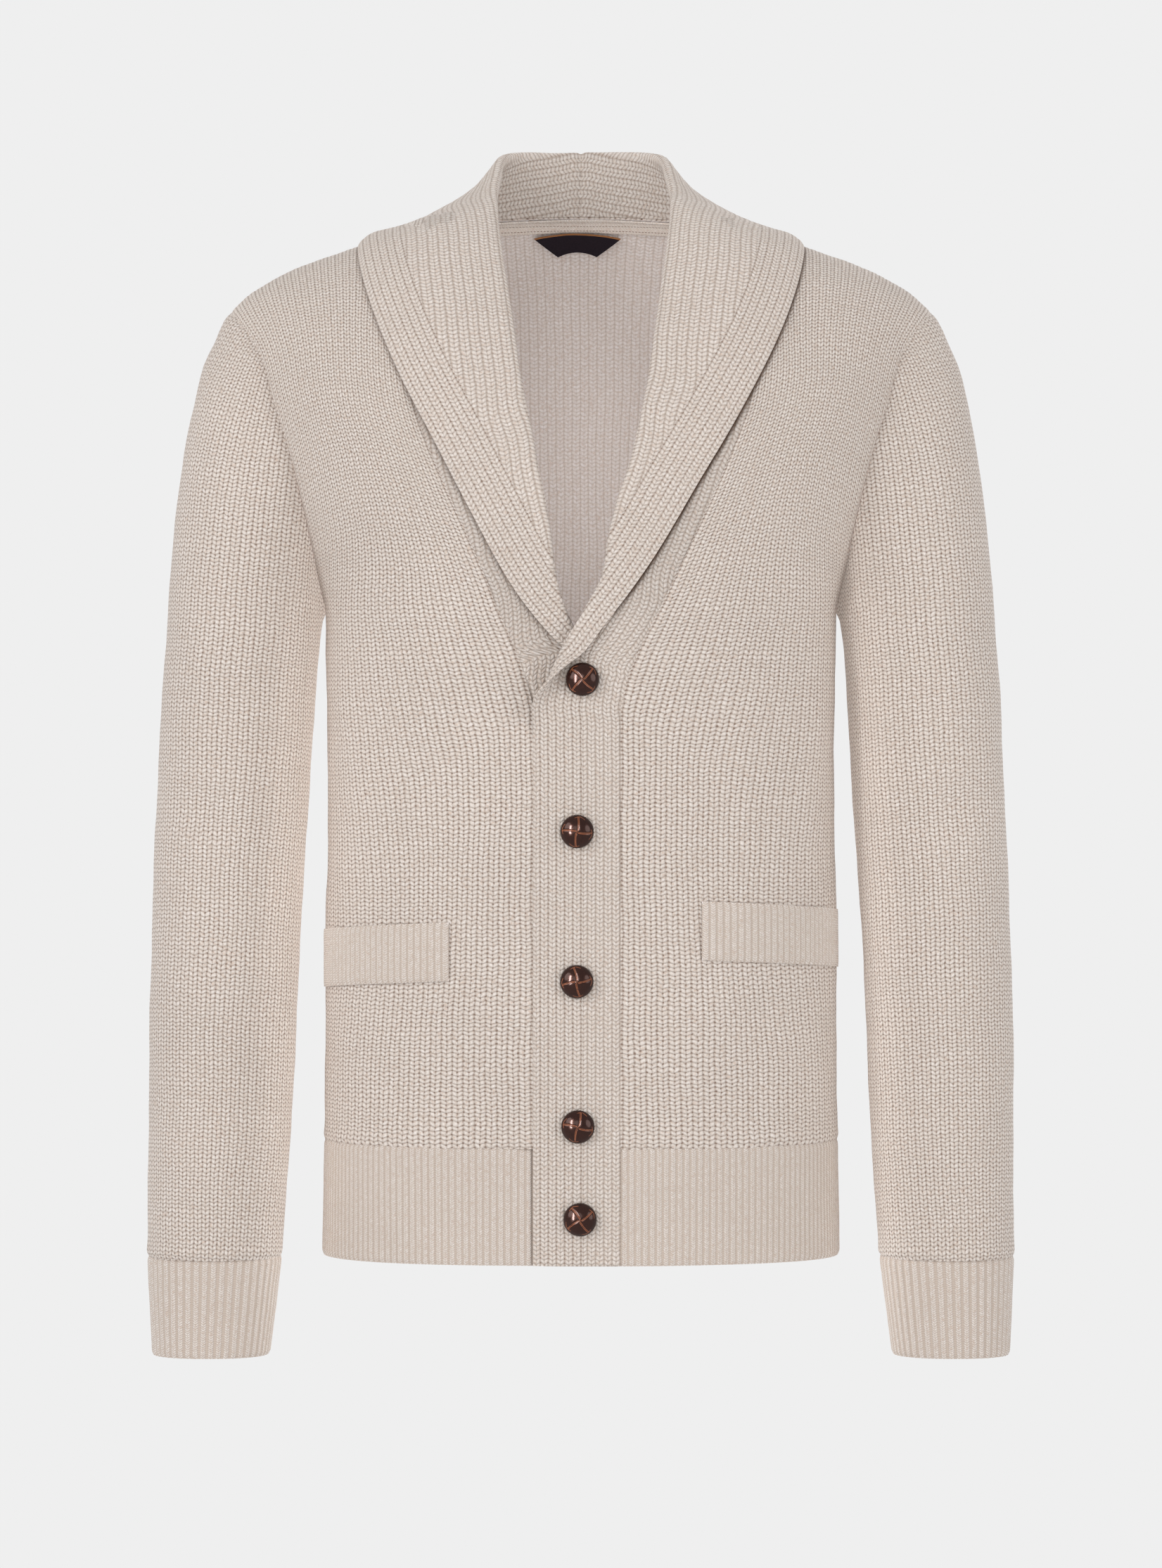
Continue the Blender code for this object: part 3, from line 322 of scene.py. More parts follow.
# ------------------------------------------------------------- small maths
def smooth_table(table, at):
    """Value at `at` on a smooth curve through a table of (key, value) rows."""
    if at <= table[0][0]:
        return table[0][1]
    if at >= table[-1][0]:
        return table[-1][1]
    index = next(i for i in range(len(table) - 1) if at <= table[i + 1][0])
    (x0, y0), (x1, y1) = table[index], table[index + 1]
    step = (y1 - y0) / (x1 - x0)
    before = step
    after = step
    if index > 0:
        before = (y0 - table[index - 1][1]) / (x0 - table[index - 1][0])
    if index < len(table) - 2:
        after = (table[index + 2][1] - y1) / (table[index + 2][0] - x1)
    slope0 = slope_between(before, step)
    slope1 = slope_between(step, after)
    width = x1 - x0
    t = (at - x0) / width
    return (
        y0 * (1 + 2 * t) * (1 - t) ** 2
        + slope0 * width * t * (1 - t) ** 2
        + y1 * t * t * (3 - 2 * t)
        + slope1 * width * t * t * (t - 1)
    )


def slope_between(first, second):
    """Slope at a table's row that never overshoots its neighbours."""
    if first * second <= 0:
        return 0.0
    return 2 * first * second / (first + second)


def mix(a, b, t):
    return a + (b - a) * t


def ease(t):
    t = min(1.0, max(0.0, t))
    return t * t * (3 - 2 * t)


def signed_power(value, power):
    return math.copysign(abs(value) ** power, value)


# ------------------------------------------------------------- torso's form
def shoulder_height(x):
    return smooth_table(SHOULDER_LINE, abs(x))


def middle_depth(z):
    """Depth of the side line: straight down the sides, back at the shoulder."""
    return SHOULDER_Y * ease((z - UNDERARM_Z) / (TIP_Z - UNDERARM_Z))


def torso_depth(x, z, depths):
    """How far the outer face stands before or behind the side line."""
    across = min(1.0, abs(x) / smooth_table(HALF_WIDTH, z))
    oval = (1 - across ** ROUNDNESS) ** (1 / ROUNDNESS)
    rise = min(1.0, max(0.0, (shoulder_height(x) - z) / SHOULDER_ROLL))
    rounded = (1 - (1 - rise) ** ROLL_POWER) ** (1 / ROLL_POWER)
    return smooth_table(depths, z) * oval * rounded


def lap_step(side, x, z):
    """Outward step of the lapped fronts: the wearer's left lies on top."""
    near = ease((LAP_START - abs(x)) / LAP_SPAN)
    return side * smooth_table(LAP, z) * near


def front_face(x, z, side=0):
    """Point on the outer face of the front at x, z."""
    y = middle_depth(z) - torso_depth(x, z, FRONT_DEPTH) - lap_step(side, x, z)
    return Vector((x, y, z))


def face_normal(x, z, side, step):
    """Outward normal of the front's face, from points a step either way."""
    ahead = front_face(x + step, z, side) - front_face(x - step, z, side)
    above = front_face(x, z + step, side) - front_face(x, z - step, side)
    return ahead.cross(above).normalized()


def back_face(x, z):
    return Vector((x, middle_depth(z) + torso_depth(x, z, BACK_DEPTH), z))


# ---------------------------------------------------------------- the grids
class Panel:
    """A grid of points with a normal at each: rows upward, columns across."""

    def __init__(self, points, closed=False, flip=False):
        self.points = points
        self.closed = closed
        self.flip = flip
        self.rows = len(points)
        self.columns = len(points[0])
        self.normals = [
            [self.normal_at(i, j) for j in range(self.columns)] for i in range(self.rows)
        ]

    def normal_at(self, i, j):
        """Mean of the normals of the faces that meet at a grid point."""
        grid = self.points
        total = Vector((0, 0, 0))
        for di, dj in ((1, 1), (1, -1), (-1, -1), (-1, 1)):
            ii, jj = i + di, j + dj
            if self.closed:
                jj %= self.columns
            if 0 <= ii < self.rows and 0 <= jj < self.columns:
                up = (grid[ii][j] - grid[i][j]) * di
                across = (grid[i][jj] - grid[i][j]) * dj
                total += across.cross(up)
        if self.flip:
            total = -total
        return total.normalized()


# --------------------------------------------------------------- the panels
def neckline_point(side, z):
    """Point of the seam between a front and its band or collar."""
    x = side * smooth_table(NECKLINE, z) + smooth_table(SEAM_LEAN, z)
    if z >= 0:
        return Vector((x, SHOULDER_Y, 0.0))
    return front_face(x, z, side)


def front_grid(side):
    """Front panel from its side and armhole to the band and neckline seam."""
    grid = []
    for side_z, seam_z in ROWS:
        start_x = side * smooth_table(ARMHOLE, side_z)
        if side_z <= UNDERARM_Z:
            start_x = side * smooth_table(HALF_WIDTH, side_z)
        end = neckline_point(side, seam_z)
        near_top = ease(1 - (TIP_Z - side_z) / SHOULDER_SPREAD)
        row = []
        for part in FRONT_COLUMNS:
            x = mix(start_x, end.x, part)
            z = mix(side_z, seam_z, part)
            chord = mix(TIP_Z, 0.0, (TIP_X - abs(x)) / (TIP_X - NECK_X))
            z += near_top * (shoulder_height(x) - chord) * (0 < part < 1)
            row.append(front_face(x, z, side))
        row[-1] = end
        grid.append(row)
    return grid


def back_grid():
    """Back panel from the wearer's right side to the left."""
    half = [mix(TIP_X, NECK_X, part) for part in FRONT_COLUMNS]
    half += [row[0] for row in COLLAR_BACK]
    tops = [-x for x in half] + half[-2::-1]
    level_part = UNDERARM_Z - HEM_SEAM_Z
    grid = []
    for side_z, seam_z in ROWS:
        side_x = smooth_table(ARMHOLE, side_z)
        if side_z <= UNDERARM_Z:
            side_x = smooth_table(HALF_WIDTH, side_z)
        near_top = ease(1 - (TIP_Z - side_z) / SHOULDER_SPREAD)
        row = []
        for top_x in tops:
            x = top_x * side_x / TIP_X
            inward = (TIP_X - abs(top_x)) / (TIP_X - NECK_X)
            middle_z = mix(side_z, seam_z, min(1.0, (side_z - HEM_SEAM_Z) / level_part))
            z = mix(side_z, middle_z, min(1.0, inward))
            chord = mix(TIP_Z, 0.0, min(1.0, inward))
            if abs(top_x) > NECK_X:
                z += near_top * (shoulder_height(top_x) - chord) * (inward > 0)
            else:
                z += near_top * smooth_table(BACK_NECK, abs(top_x))
            row.append(back_face(x, z))
        grid.append(row)
    return grid


def rib_columns(length, pitch):
    """Even number of columns that gives whole ribs along a length."""
    return 2 * round(length / pitch)


def run_length(points):
    return sum((b - a).length for a, b in zip(points, points[1:]))


def section_line(z, start, end, face):
    """Points along a torso section from one x to another, closer at the sides."""
    half = smooth_table(HALF_WIDTH, z)
    first = math.acos(max(-1.0, min(1.0, start / half)))
    last = math.acos(max(-1.0, min(1.0, end / half)))
    turns = [mix(first, last, i / FINE_STEPS) for i in range(FINE_STEPS + 1)]
    return [face(half * math.cos(turn), z) for turn in turns]


def even_points(points, count):
    """The same line with `count` equal steps."""
    lengths = [0.0]
    for a, b in zip(points, points[1:]):
        lengths.append(lengths[-1] + (b - a).length)
    spaced = []
    index = 0
    for step in range(count + 1):
        want = lengths[-1] * step / count
        while index < len(points) - 2 and lengths[index + 1] < want:
            index += 1
        span = lengths[index + 1] - lengths[index]
        spaced.append(points[index].lerp(points[index + 1], (want - lengths[index]) / span))
    return spaced


def hem_grid(start, end, face):
    """Hem rib between two places, each an x for the bottom and the top."""
    bottom = section_line(HEM_Z, start[0], end[0], face)
    top = section_line(HEM_SEAM_Z, start[1], end[1], face)
    count = rib_columns(run_length(top), RIB_PITCH)
    return [even_points(bottom, count), even_points(top, count)]


# -------------------------------------------------------------- the sleeves
def oval_place(angle):
    """Unit oval of a sleeve ring at an angle, outer side first."""
    power = 2 / SLEEVE_ROUNDNESS
    return signed_power(math.cos(angle), power), signed_power(math.sin(angle), power)


def ring_frame(side, ring):
    """Middle, half width, outward direction and half depth of a ring."""
    outer_z, inner_z, depth, middle = ring
    outer = Vector((side * smooth_table(SLEEVE_OUTER, outer_z), middle, outer_z))
    inner = Vector((side * smooth_table(SLEEVE_INNER, inner_z), middle, inner_z))
    across = outer - inner
    return (outer + inner) / 2, across.length / 2, across.normalized(), depth


def ring_point(frame, angle):
    centre, half, outward, depth = frame
    c, s = oval_place(angle)
    return centre + outward * (half * c) + Vector((0, -depth * s, 0))


def angle_on(frame, point):
    """Angle at which a point lies on a ring's oval."""
    centre, half, outward, depth = frame
    c = (point - centre).dot(outward) / half
    s = -(point - centre).y / depth
    power = SLEEVE_ROUNDNESS / 2
    return math.atan2(signed_power(s, power), signed_power(c, power))


def sleeve_grid(side, armhole):
    """Tube from the armhole's points to the cuff seam.

    The armhole runs from the underarm up the front, over the shoulder tip and
    down the back, and so do the columns.
    """
    count = len(armhole)
    first = ring_frame(side, SLEEVE_RINGS[0])
    own = [angle_on(first, point) for point in armhole]
    own[0] = math.pi
    own = [angle % (2 * math.pi) for angle in own]
    even = [(math.pi - 2 * math.pi * i / count) % (2 * math.pi) for i in range(count)]
    own = [nearest_turn(a, b) for a, b in zip(own, even)]
    offsets = [point - ring_point(first, a) for point, a in zip(armhole, own)]
    grid = [[point.copy() for point in armhole]]
    for k in range(1, len(SLEEVE_RINGS)):
        frame = ring_frame(side, SLEEVE_RINGS[k])
        settle = ease(k / EVEN_RINGS)
        fade = 1 - ease(k / FADE_RINGS)
        row = []
        for i in range(count):
            angle = mix(own[i], even[i], settle)
            row.append(ring_point(frame, angle) + offsets[i] * fade)
        grid.append(row)
    return grid


def nearest_turn(angle, goal):
    """The same angle, written on the same turn as the goal."""
    while angle - goal > math.pi:
        angle -= 2 * math.pi
    while goal - angle > math.pi:
        angle += 2 * math.pi
    return angle


def cuff_grid(side):
    """Cuff rib, from its open end up to the sleeve."""
    rows = []
    for z in (CUFF_Z, CUFF_SEAM_Z):
        ring = (z, z, smooth_table(CUFF_DEPTHS, z), smooth_table(CUFF_MIDDLE, z))
        frame = ring_frame(side, ring)
        turns = [-2 * math.pi * i / CUFF_STEPS for i in range(CUFF_STEPS + 1)]
        rows.append([ring_point(frame, turn) for turn in turns])
    count = rib_columns(run_length(rows[1]), RIB_PITCH)
    return [even_points(row, count)[:-1] for row in rows]


# --------------------------------------------------------- band and collar
def run_normal(points, index, run):
    """Normal of a cross line at a point: square to it and to the run."""
    before = points[max(index - 1, 0)]
    after = points[min(index + 1, len(points) - 1)]
    return (after - before).cross(run).normalized()


def band_station(side, row):
    """Cross line of the band, from its seam to its free edge."""
    seam_z, tilt, turn, upper, lower = row
    flap = upper if side > 0 else lower
    fold = math.pi * (CLOTH + UNDER_GAP) / 2
    stand = BAND_STAND
    if turn == 0:
        stand = BAND_WIDTH - fold - flap
    seam = neckline_point(side, seam_z)
    way = Vector((-side * math.cos(math.radians(tilt)), 0, math.sin(math.radians(tilt))))
    turn = math.radians(turn)
    line = []
    for i in range(STAND_SPANS):
        line.append((stand * i / STAND_SPANS, 0.0))
    for i in range(FOLD_SPANS):
        bend = turn * i / FOLD_SPANS
        if turn > 0:
            radius = fold / turn
            line.append((stand + radius * math.sin(bend), radius * (1 - math.cos(bend))))
        else:
            line.append((stand + fold * i / FOLD_SPANS, 0.0))
    radius = fold / turn if turn > 0 else 0.0
    end = (stand + radius * math.sin(turn), radius * (1 - math.cos(turn)))
    if turn == 0:
        end = (stand + fold, 0.0)
    for i in range(FALL_SPANS + 1):
        out = flap * i / FALL_SPANS
        line.append((end[0] + out * math.cos(turn), end[1] + out * math.sin(turn)))
    points = []
    for along, height in line:
        spot = seam + way * along
        normal = face_normal(spot.x, spot.z, side, 1.0)
        points.append(front_face(spot.x, spot.z, side) + normal * (height - CLOTH / 2))
    return points


def collar_base(seam, roll, edge, face, seam_way, bend_part):
    """The collar's stand, its way at the roll, and the path under its fall.

    The stand leaves the seam along `seam_way`.  The fall turns back over the
    stand and, where its edge lies past the seam, goes on over the body.
    """
    reach = (CLOTH + UNDER_GAP) / 2
    bend = seam + seam_way * ((roll - seam).length * bend_part)
    way = (roll - bend).normalized()
    stand_end = roll - way * (reach + CLOTH / 2)
    stand = []
    for i in range(STAND_SPANS + 1):
        t = i / STAND_SPANS
        stand.append(seam.lerp(bend, t).lerp(bend.lerp(stand_end, t), t))
    path = stand[::-1]
    across = Vector((seam.x - roll.x, seam.z - roll.z))
    past = Vector((edge[0] - roll.x, edge[1] - roll.z)).dot(across) / across.length_squared
    if past > 1.0:
        for i in range(1, LYING_STEPS + 1):
            t = i / LYING_STEPS
            path.append(face(mix(seam.x, edge[0], t), mix(seam.z, edge[1], t)))
    else:
        path = even_points(path, UNDER_STEPS)[: round(UNDER_STEPS * past) + 1]
    return stand, way, path


def collar_line(stand, way, under, run, air):
    """Points of the collar's middle, from the seam to the outer edge.

    The fall lies on the stand and on the body, with some air under it, and
    bridges any hollow there.
    """
    half = CLOTH / 2
    reach = (CLOTH + UNDER_GAP) / 2
    points = []
    for i, point in enumerate(stand):
        points.append(point - run_normal(stand, i, run) * half)
    last = points[-1]
    lift = (way.cross(run)).normalized()
    fold_end = None
    for i in range(1, FOLD_SPANS + 1):
        turn = math.pi * i / FOLD_SPANS
        fold_end = last + way * (reach * math.sin(turn)) + lift * (reach * (1 - math.cos(turn)))
        if i < FOLD_SPANS:
            points.append(fold_end)
    over = []
    for i, point in enumerate(under):
        over.append(point + run_normal(under, i, -run) * (half + air))
    over[0] = fold_end
    for _ in range(SETTLE_ROUNDS):
        for i in range(1, len(over) - 1):
            between = (over[i - 1] + over[i + 1]) / 2
            if (between - over[i]).dot(run_normal(over, i, -run)) > 0:
                over[i] = between
    return points + even_points(over, FALL_SPANS)


def collar_rows(side, front):
    """All cross lines of one band and collar, from the hem to the middle back."""
    rows = [band_station(side, row) for row in BAND_TURN]

    def face(x, z):
        return front_face(x, z, side)

    bases = []
    seam_heights = [row[1] for row in ROWS]
    for seam_z, roll_x, roll_y, roll_z, edge_x, edge_z in COLLAR_FRONT:
        seam_line = front.points[seam_heights.index(seam_z)]
        seam_way = (seam_line[-1] - seam_line[-2]).normalized()
        roll = Vector((side * roll_x + smooth_table(ROLL_LEAN, roll_z), roll_y, roll_z))
        roll.y -= lap_step(side, roll.x, roll_z)
        edge = (side * edge_x + smooth_table(EDGE_LEAN, edge_z), edge_z)
        bases.append(collar_base(seam_line[-1], roll, edge, face, seam_way, FRONT_BEND))
    for seam_x, roll_x, roll_y, roll_z, edge_x, edge_z in COLLAR_BACK:
        seam = back_face(side * seam_x, smooth_table(BACK_NECK, seam_x))
        roll = Vector((side * roll_x + smooth_table(ROLL_LEAN, roll_z), roll_y, roll_z))
        seam_way = (roll - seam).normalized()
        edge = (side * edge_x, edge_z)
        bases.append(collar_base(seam, roll, edge, back_face, seam_way, BACK_BEND))
    for i, (stand, way, under) in enumerate(bases):
        ahead = bases[min(i + 1, len(bases) - 1)][0][-1]
        behind = bases[max(i - 1, 0)][0][-1]
        run = (ahead - behind).normalized()
        if i == len(bases) - 1:
            run = Vector((-side, 0, 0))
        across = abs(stand[-1].y - SHOULDER_Y) / SHOULDER_AIR_REACH
        air = UNDER_GAP + SHOULDER_AIR * ease(1 - across)
        rows.append(collar_line(stand, way, under, run * -side, air))
    return rows


# ------------------------------------------------------------ small pieces
def welt_grid(side, inner_x, inner_z, side_z):
    """Pocket welt on a front, from its inner end to the side seam."""
    rows = []
    for drop in (WELT_HEIGHT, 0.0):
        fine = []
        for x, part in welt_stops(inner_x, inner_z - drop, side_z - drop):
            fine.append(front_face(side * x, mix(inner_z, side_z, part) - drop, side))
        rows.append(fine)
    count = rib_columns(run_length(rows[1]), WELT_RIB_PITCH)
    return [even_points(row, count) for row in rows]


def welt_stops(inner_x, inner_z, side_z):
    """x and part of the way along a welt, closer together at the side."""
    half = smooth_table(HALF_WIDTH, (inner_z + side_z) / 2)
    first = math.acos(inner_x / half)
    last = math.acos(WELT_SIDE)
    parts = [i / FINE_STEPS for i in range(FINE_STEPS + 1)]
    return [(half * math.cos(mix(first, last, part)), part) for part in parts]


def tape_grid(back):
    """Neck tape on the inside of the back, from one neck point to the other."""
    first = len(FRONT_COLUMNS) - 1
    last = back.columns - first
    upper, middle, lower = back.points[-1], back.points[-2], back.points[-3]
    columns = range(first, last)
    return [
        [middle[j].lerp(lower[j], TAPE_BOTTOM) for j in columns],
        [middle[j].copy() for j in columns],
        [upper[j].lerp(middle[j], TAPE_TOP) for j in columns],
    ]


def label_grid():
    """Blank neck label: wide at the top, narrow and arched below."""
    grid = []
    for level in (0.0, 0.5, 1.0):
        row = []
        half = mix(LABEL_BOTTOM_X, LABEL_TOP_X, level)
        for part in (-1.0, -0.5, 0.0, 0.5, 1.0):
            drop = LABEL_HEIGHT * (1 - level) + LABEL_ARCH * (part * part + level - 1)
            row.append(back_face(LABEL_X + part * half, LABEL_TOP_Z - drop))
        grid.append(row)
    return grid


def seat_collar(side, front, back, collar):
    """Put the collar's sewn edge half a wall under the faces of front and back."""
    top = len(ROWS) - 1
    neck = len(FRONT_COLUMNS) - 1
    edge = back.columns - 1 if side > 0 else 0
    seam = [(front, i, neck) for i in range(top + 1)]
    seam += [(back, top, edge - side * (neck + i)) for i in range(1, len(COLLAR_BACK) + 1)]
    for row, (panel, i, j) in enumerate(seam, start=1):
        collar[row][0] = panel.points[i][j] - panel.normals[i][j] * (CLOTH / 2)


# ------------------------------------------------------------ fine sheets
FINE_ROW = 6.0              # height of a mesh row on plain knit
NEAR_EDGE = (0.7, 1.6, 2.8, 4.4)   # closer rows beside a sewn edge
DENSE = 400                 # places at which a line's length is measured
WALL = 2.8                  # thickness of the finer cloth
WELT_WALL = 1.8
SEAM_REACH = 0.13           # how far a finer edge reaches into the seam's gap
WELT_TAPER = 24.0           # width over which a welt thins out at the side seam


def along_curve(knots, values, at):
    """Smooth curve through rows of values, read at places between the knots."""
    slopes = np.gradient(values, knots, axis=0, edge_order=2)
    index = np.clip(np.searchsorted(knots, at, side="right") - 1, 0, len(knots) - 2)
    shape = (-1,) + (1,) * (values.ndim - 1)
    width = (knots[index + 1] - knots[index]).reshape(shape)
    t = (at - knots[index]).reshape(shape) / width
    return (
        values[index] * (1 + 2 * t) * (1 - t) ** 2
        + slopes[index] * width * t * (1 - t) ** 2
        + values[index + 1] * t * t * (3 - 2 * t)
        + slopes[index + 1] * width * t * t * (t - 1)
    )


def running_length(points, axis):
    """Length along a grid's lines from their start to each point."""
    steps = np.linalg.norm(np.diff(points, axis=axis), axis=-1)
    return np.insert(np.cumsum(steps, axis=axis), 0, 0.0, axis=axis)


def fine_lengthways(points, step):
    """More rows on a grid, about a step apart and closer at both ends."""
    knots = running_length(points, 0).mean(axis=1)
    total = knots[-1]
    even = np.linspace(0, total, max(2, round(total / step)) + 1)
    near = np.array(NEAR_EDGE)
    even = even[(even < 1e-6) | (even > total - 1e-6) | ((even > near[-1] + 1) & (even < total - near[-1] - 1))]
    at = np.sort(np.concatenate([even, near, total - near]))
    if len(points) == 2:
        part = (at / total).reshape(-1, 1, 1)
        return points[0] * (1 - part) + points[1] * part
    return along_curve(knots, points, at)


def fine_line(line, parts, closed=False):
    """One line of points read at parts of its true length."""
    first, last = 0, len(line) - 1
    if closed:
        first, last = 3, 3 + len(line)
        line = np.concatenate([line[-3:], line, line[:4]])
    knots = running_length(line, 0)
    dense = np.linspace(knots[first], knots[last], DENSE)
    lengths = running_length(along_curve(knots, line, dense), 0)
    at = np.interp(parts * lengths[-1], lengths, dense)
    return along_curve(knots, line, at)


class Sheet:
    """A fine grid of points on a piece's face, with normals and lengths."""

    def __init__(self, points, closed=False, flip=False):
        self.points = points
        self.closed = closed
        padded = points
        if closed:
            padded = np.concatenate([points[:, -2:-1], points, points[:, 1:2]], axis=1)
        across = np.gradient(padded, axis=1)
        up = np.gradient(padded, axis=0)
        normals = np.cross(across, up) * (-1.0 if flip else 1.0)
        if closed:
            normals = normals[:, 1:-1]
        self.normals = normals / np.linalg.norm(normals, axis=2, keepdims=True)
        self.flip = flip
        self.across = running_length(points, 1)
        self.along = running_length(points, 0)
        self.rows, self.columns = points.shape[:2]

    def from_edge(self, edge):
        """Distance of every point from one edge of the sheet."""
        if edge == "start":
            return self.across
        if edge == "end":
            return self.across[:, -1:] - self.across
        if edge == "bottom":
            return self.along
        return self.along[-1:] - self.along

    def moved(self, height):
        """The same sheet with its points moved along their normals."""
        return Sheet(self.points + self.normals * height[..., None], self.closed, self.flip)


def grid_of(rows):
    return np.array([[tuple(point) for point in row] for row in rows])


def fine_panel(rows, columns, step=FINE_ROW, closed=False, flip=False):
    """Sheet on a coarse grid, its columns evenly spaced along every row."""
    lengthened = fine_lengthways(grid_of(rows), step)
    parts = np.linspace(0, 1, columns + 1)
    points = np.array([fine_line(line, parts, closed) for line in lengthened])
    if closed:
        points[:, -1] = points[:, 0]
    return Sheet(points, closed, flip)


def eased(t):
    """Smooth step of every number, from 0 at nought to 1 at one."""
    t = np.clip(t, 0, 1)
    return t * t * (3 - 2 * t)


def bump_at(distance, place, width, height):
    """Soft ridge, or trough if the height is below nought."""
    return height * np.exp(-(((distance - place) / width) ** 2))


def sewn(sheet, *edges):
    """Dip of the face at its sewn edges, with the cloth full beside them."""
    height = np.zeros(sheet.across.shape)
    for edge, dip, swell in edges:
        away = sheet.from_edge(edge)
        height += bump_at(away, 0.0, 1.5, -dip) + bump_at(away, 4.5, 3.0, swell)
    return height


def rib_shape(count, valley):
    """Height across a wale, 1 on top and 0 in the valley beside it."""
    off = np.abs(2 * (count % 1.0) - 1) / (1 - valley)
    return 1 - np.clip(off, 0, 1) ** 3.4


def wander(points, amount):
    """Slow sideways wander of the wales, in wales."""
    x, y, z = points[..., 0], points[..., 1], points[..., 2]
    return amount * (
        np.sin(z / 17 + x / 31 + y / 29) + np.sin(z / 7.3 - x / 13 + 1.7) * 0.5
        + np.sin(z / 41 + y / 23 + x / 11 + 4.1) * 0.6
    )


def uneven(points, amount):
    """Slight unevenness of hand-soft cloth, mm."""
    x, y, z = points[..., 0], points[..., 1], points[..., 2]
    return amount * (
        np.sin(x / 9.1 + z / 21 + 0.4) * np.sin(z / 14.3 - y / 17 + 2.2)
        + 0.7 * np.sin(x / 23 - z / 33 + y / 19 + 1.1)
        + 0.5 * np.sin(z / 5.7 + x / 4.9) * np.sin(x / 6.3 - z / 8.8 + 0.9)
    )


def creased(sheet, creases):
    """Sheet with soft creases, each from one x, z to another."""
    height = np.zeros(sheet.across.shape)
    x, z = sheet.points[..., 0], sheet.points[..., 2]
    for x0, z0, x1, z1, width, rise, facing in creases:
        run = math.hypot(x1 - x0, z1 - z0)
        part = ((x - x0) * (x1 - x0) + (z - z0) * (z1 - z0)) / run ** 2
        off = ((x - x0) * (z1 - z0) - (z - z0) * (x1 - x0)) / run
        ends = np.clip(part * 3, 0, 1) * np.clip((1 - part) * 3, 0, 1)
        ends = ends * ends * (3 - 2 * ends)
        faces = np.clip(sheet.normals[..., 1] * facing * 2, 0, 1)
        height += rise * np.exp(-((off / width) ** 2)) * ends * faces
    return sheet.moved(height)


def sewn_up(sheet):
    """Points of a sheet, its edges moved out almost to their neighbours."""
    points = sheet.points.copy()
    sides = [points] if sheet.closed else [points, points.transpose(1, 0, 2)]
    for lines in sides:
        for edge, beside in ((0, 1), (-1, -2)):
            way = lines[edge] - lines[beside]
            lines[edge] += way / np.linalg.norm(way, axis=1, keepdims=True) * SEAM_REACH
    return points


def cloth_object(name, sheet, outer, inner, maps, materials):
    """Closed wall on a sheet.

    `outer` and `inner` are the heights of its two faces over the sheet, and
    `maps` gives the counts of wales and rows for each UV map.
    """
    mesh = bmesh.new()
    rows, columns = sheet.rows, sheet.columns
    bmesh.ops.create_grid(mesh, x_segments=columns - 1, y_segments=rows - 1, size=1.0)
    mesh.verts.ensure_lookup_table()
    for title, (wales, courses) in maps.items():
        layer = mesh.loops.layers.uv.new(title)
        flat_u, flat_v = wales.ravel(), courses.ravel()
        for face in mesh.faces:
            for loop in face.loops:
                at = loop.vert.index
                loop[layer].uv = (flat_u[at], flat_v[at])
    if sheet.flip:
        bmesh.ops.reverse_faces(mesh, faces=mesh.faces)
    skin = list(mesh.verts)
    copied = bmesh.ops.duplicate(mesh, geom=skin + list(mesh.edges) + list(mesh.faces))
    lining = [copied["vert_map"][vert] for vert in skin]
    lining_faces = [item for item in copied["geom"] if isinstance(item, bmesh.types.BMFace)]
    bmesh.ops.reverse_faces(mesh, faces=lining_faces)
    for face in lining_faces:
        face.material_index = len(materials) - 1
    points = sewn_up(sheet)
    for verts, height in ((skin, outer), (lining, inner)):
        places = ((points + sheet.normals * height[..., None]) * MM).reshape(-1, 3)
        for vert, place in zip(verts, places):
            vert.co = place
    if sheet.closed:
        twins = {}
        for verts in (skin, lining):
            for row in range(rows):
                twins[verts[row * columns + columns - 1]] = verts[row * columns]
        bmesh.ops.weld_verts(mesh, targetmap=twins)
        keep = columns - 1
        for row in (0, rows - 1):
            ring = set()
            for verts in (skin, lining):
                ring.update(verts[row * columns : row * columns + keep])
            rim = [edge for edge in mesh.edges if edge.is_boundary and set(edge.verts) <= ring]
            bmesh.ops.bridge_loops(mesh, edges=rim)
    else:
        bmesh.ops.bridge_loops(mesh, edges=[edge for edge in mesh.edges if edge.is_boundary])
    return mesh_object(name, mesh, materials)


def mesh_object(name, mesh, materials, angle=70.0):
    """Shown object of a finished mesh, smooth but for its sharp edges."""
    data = bpy.data.meshes.new(name)
    mesh.to_mesh(data)
    mesh.free()
    for item in materials:
        data.materials.append(item)
    data.shade_smooth()
    data.set_sharp_from_angle(angle=math.radians(angle))
    piece = bpy.data.objects.new(name, data)
    bpy.context.scene.collection.objects.link(piece)
    return piece


def stand_for(piece, node):
    """Let a piece ride on the frame in the place of its plain wall."""
    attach(piece, "root")
    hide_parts(node)


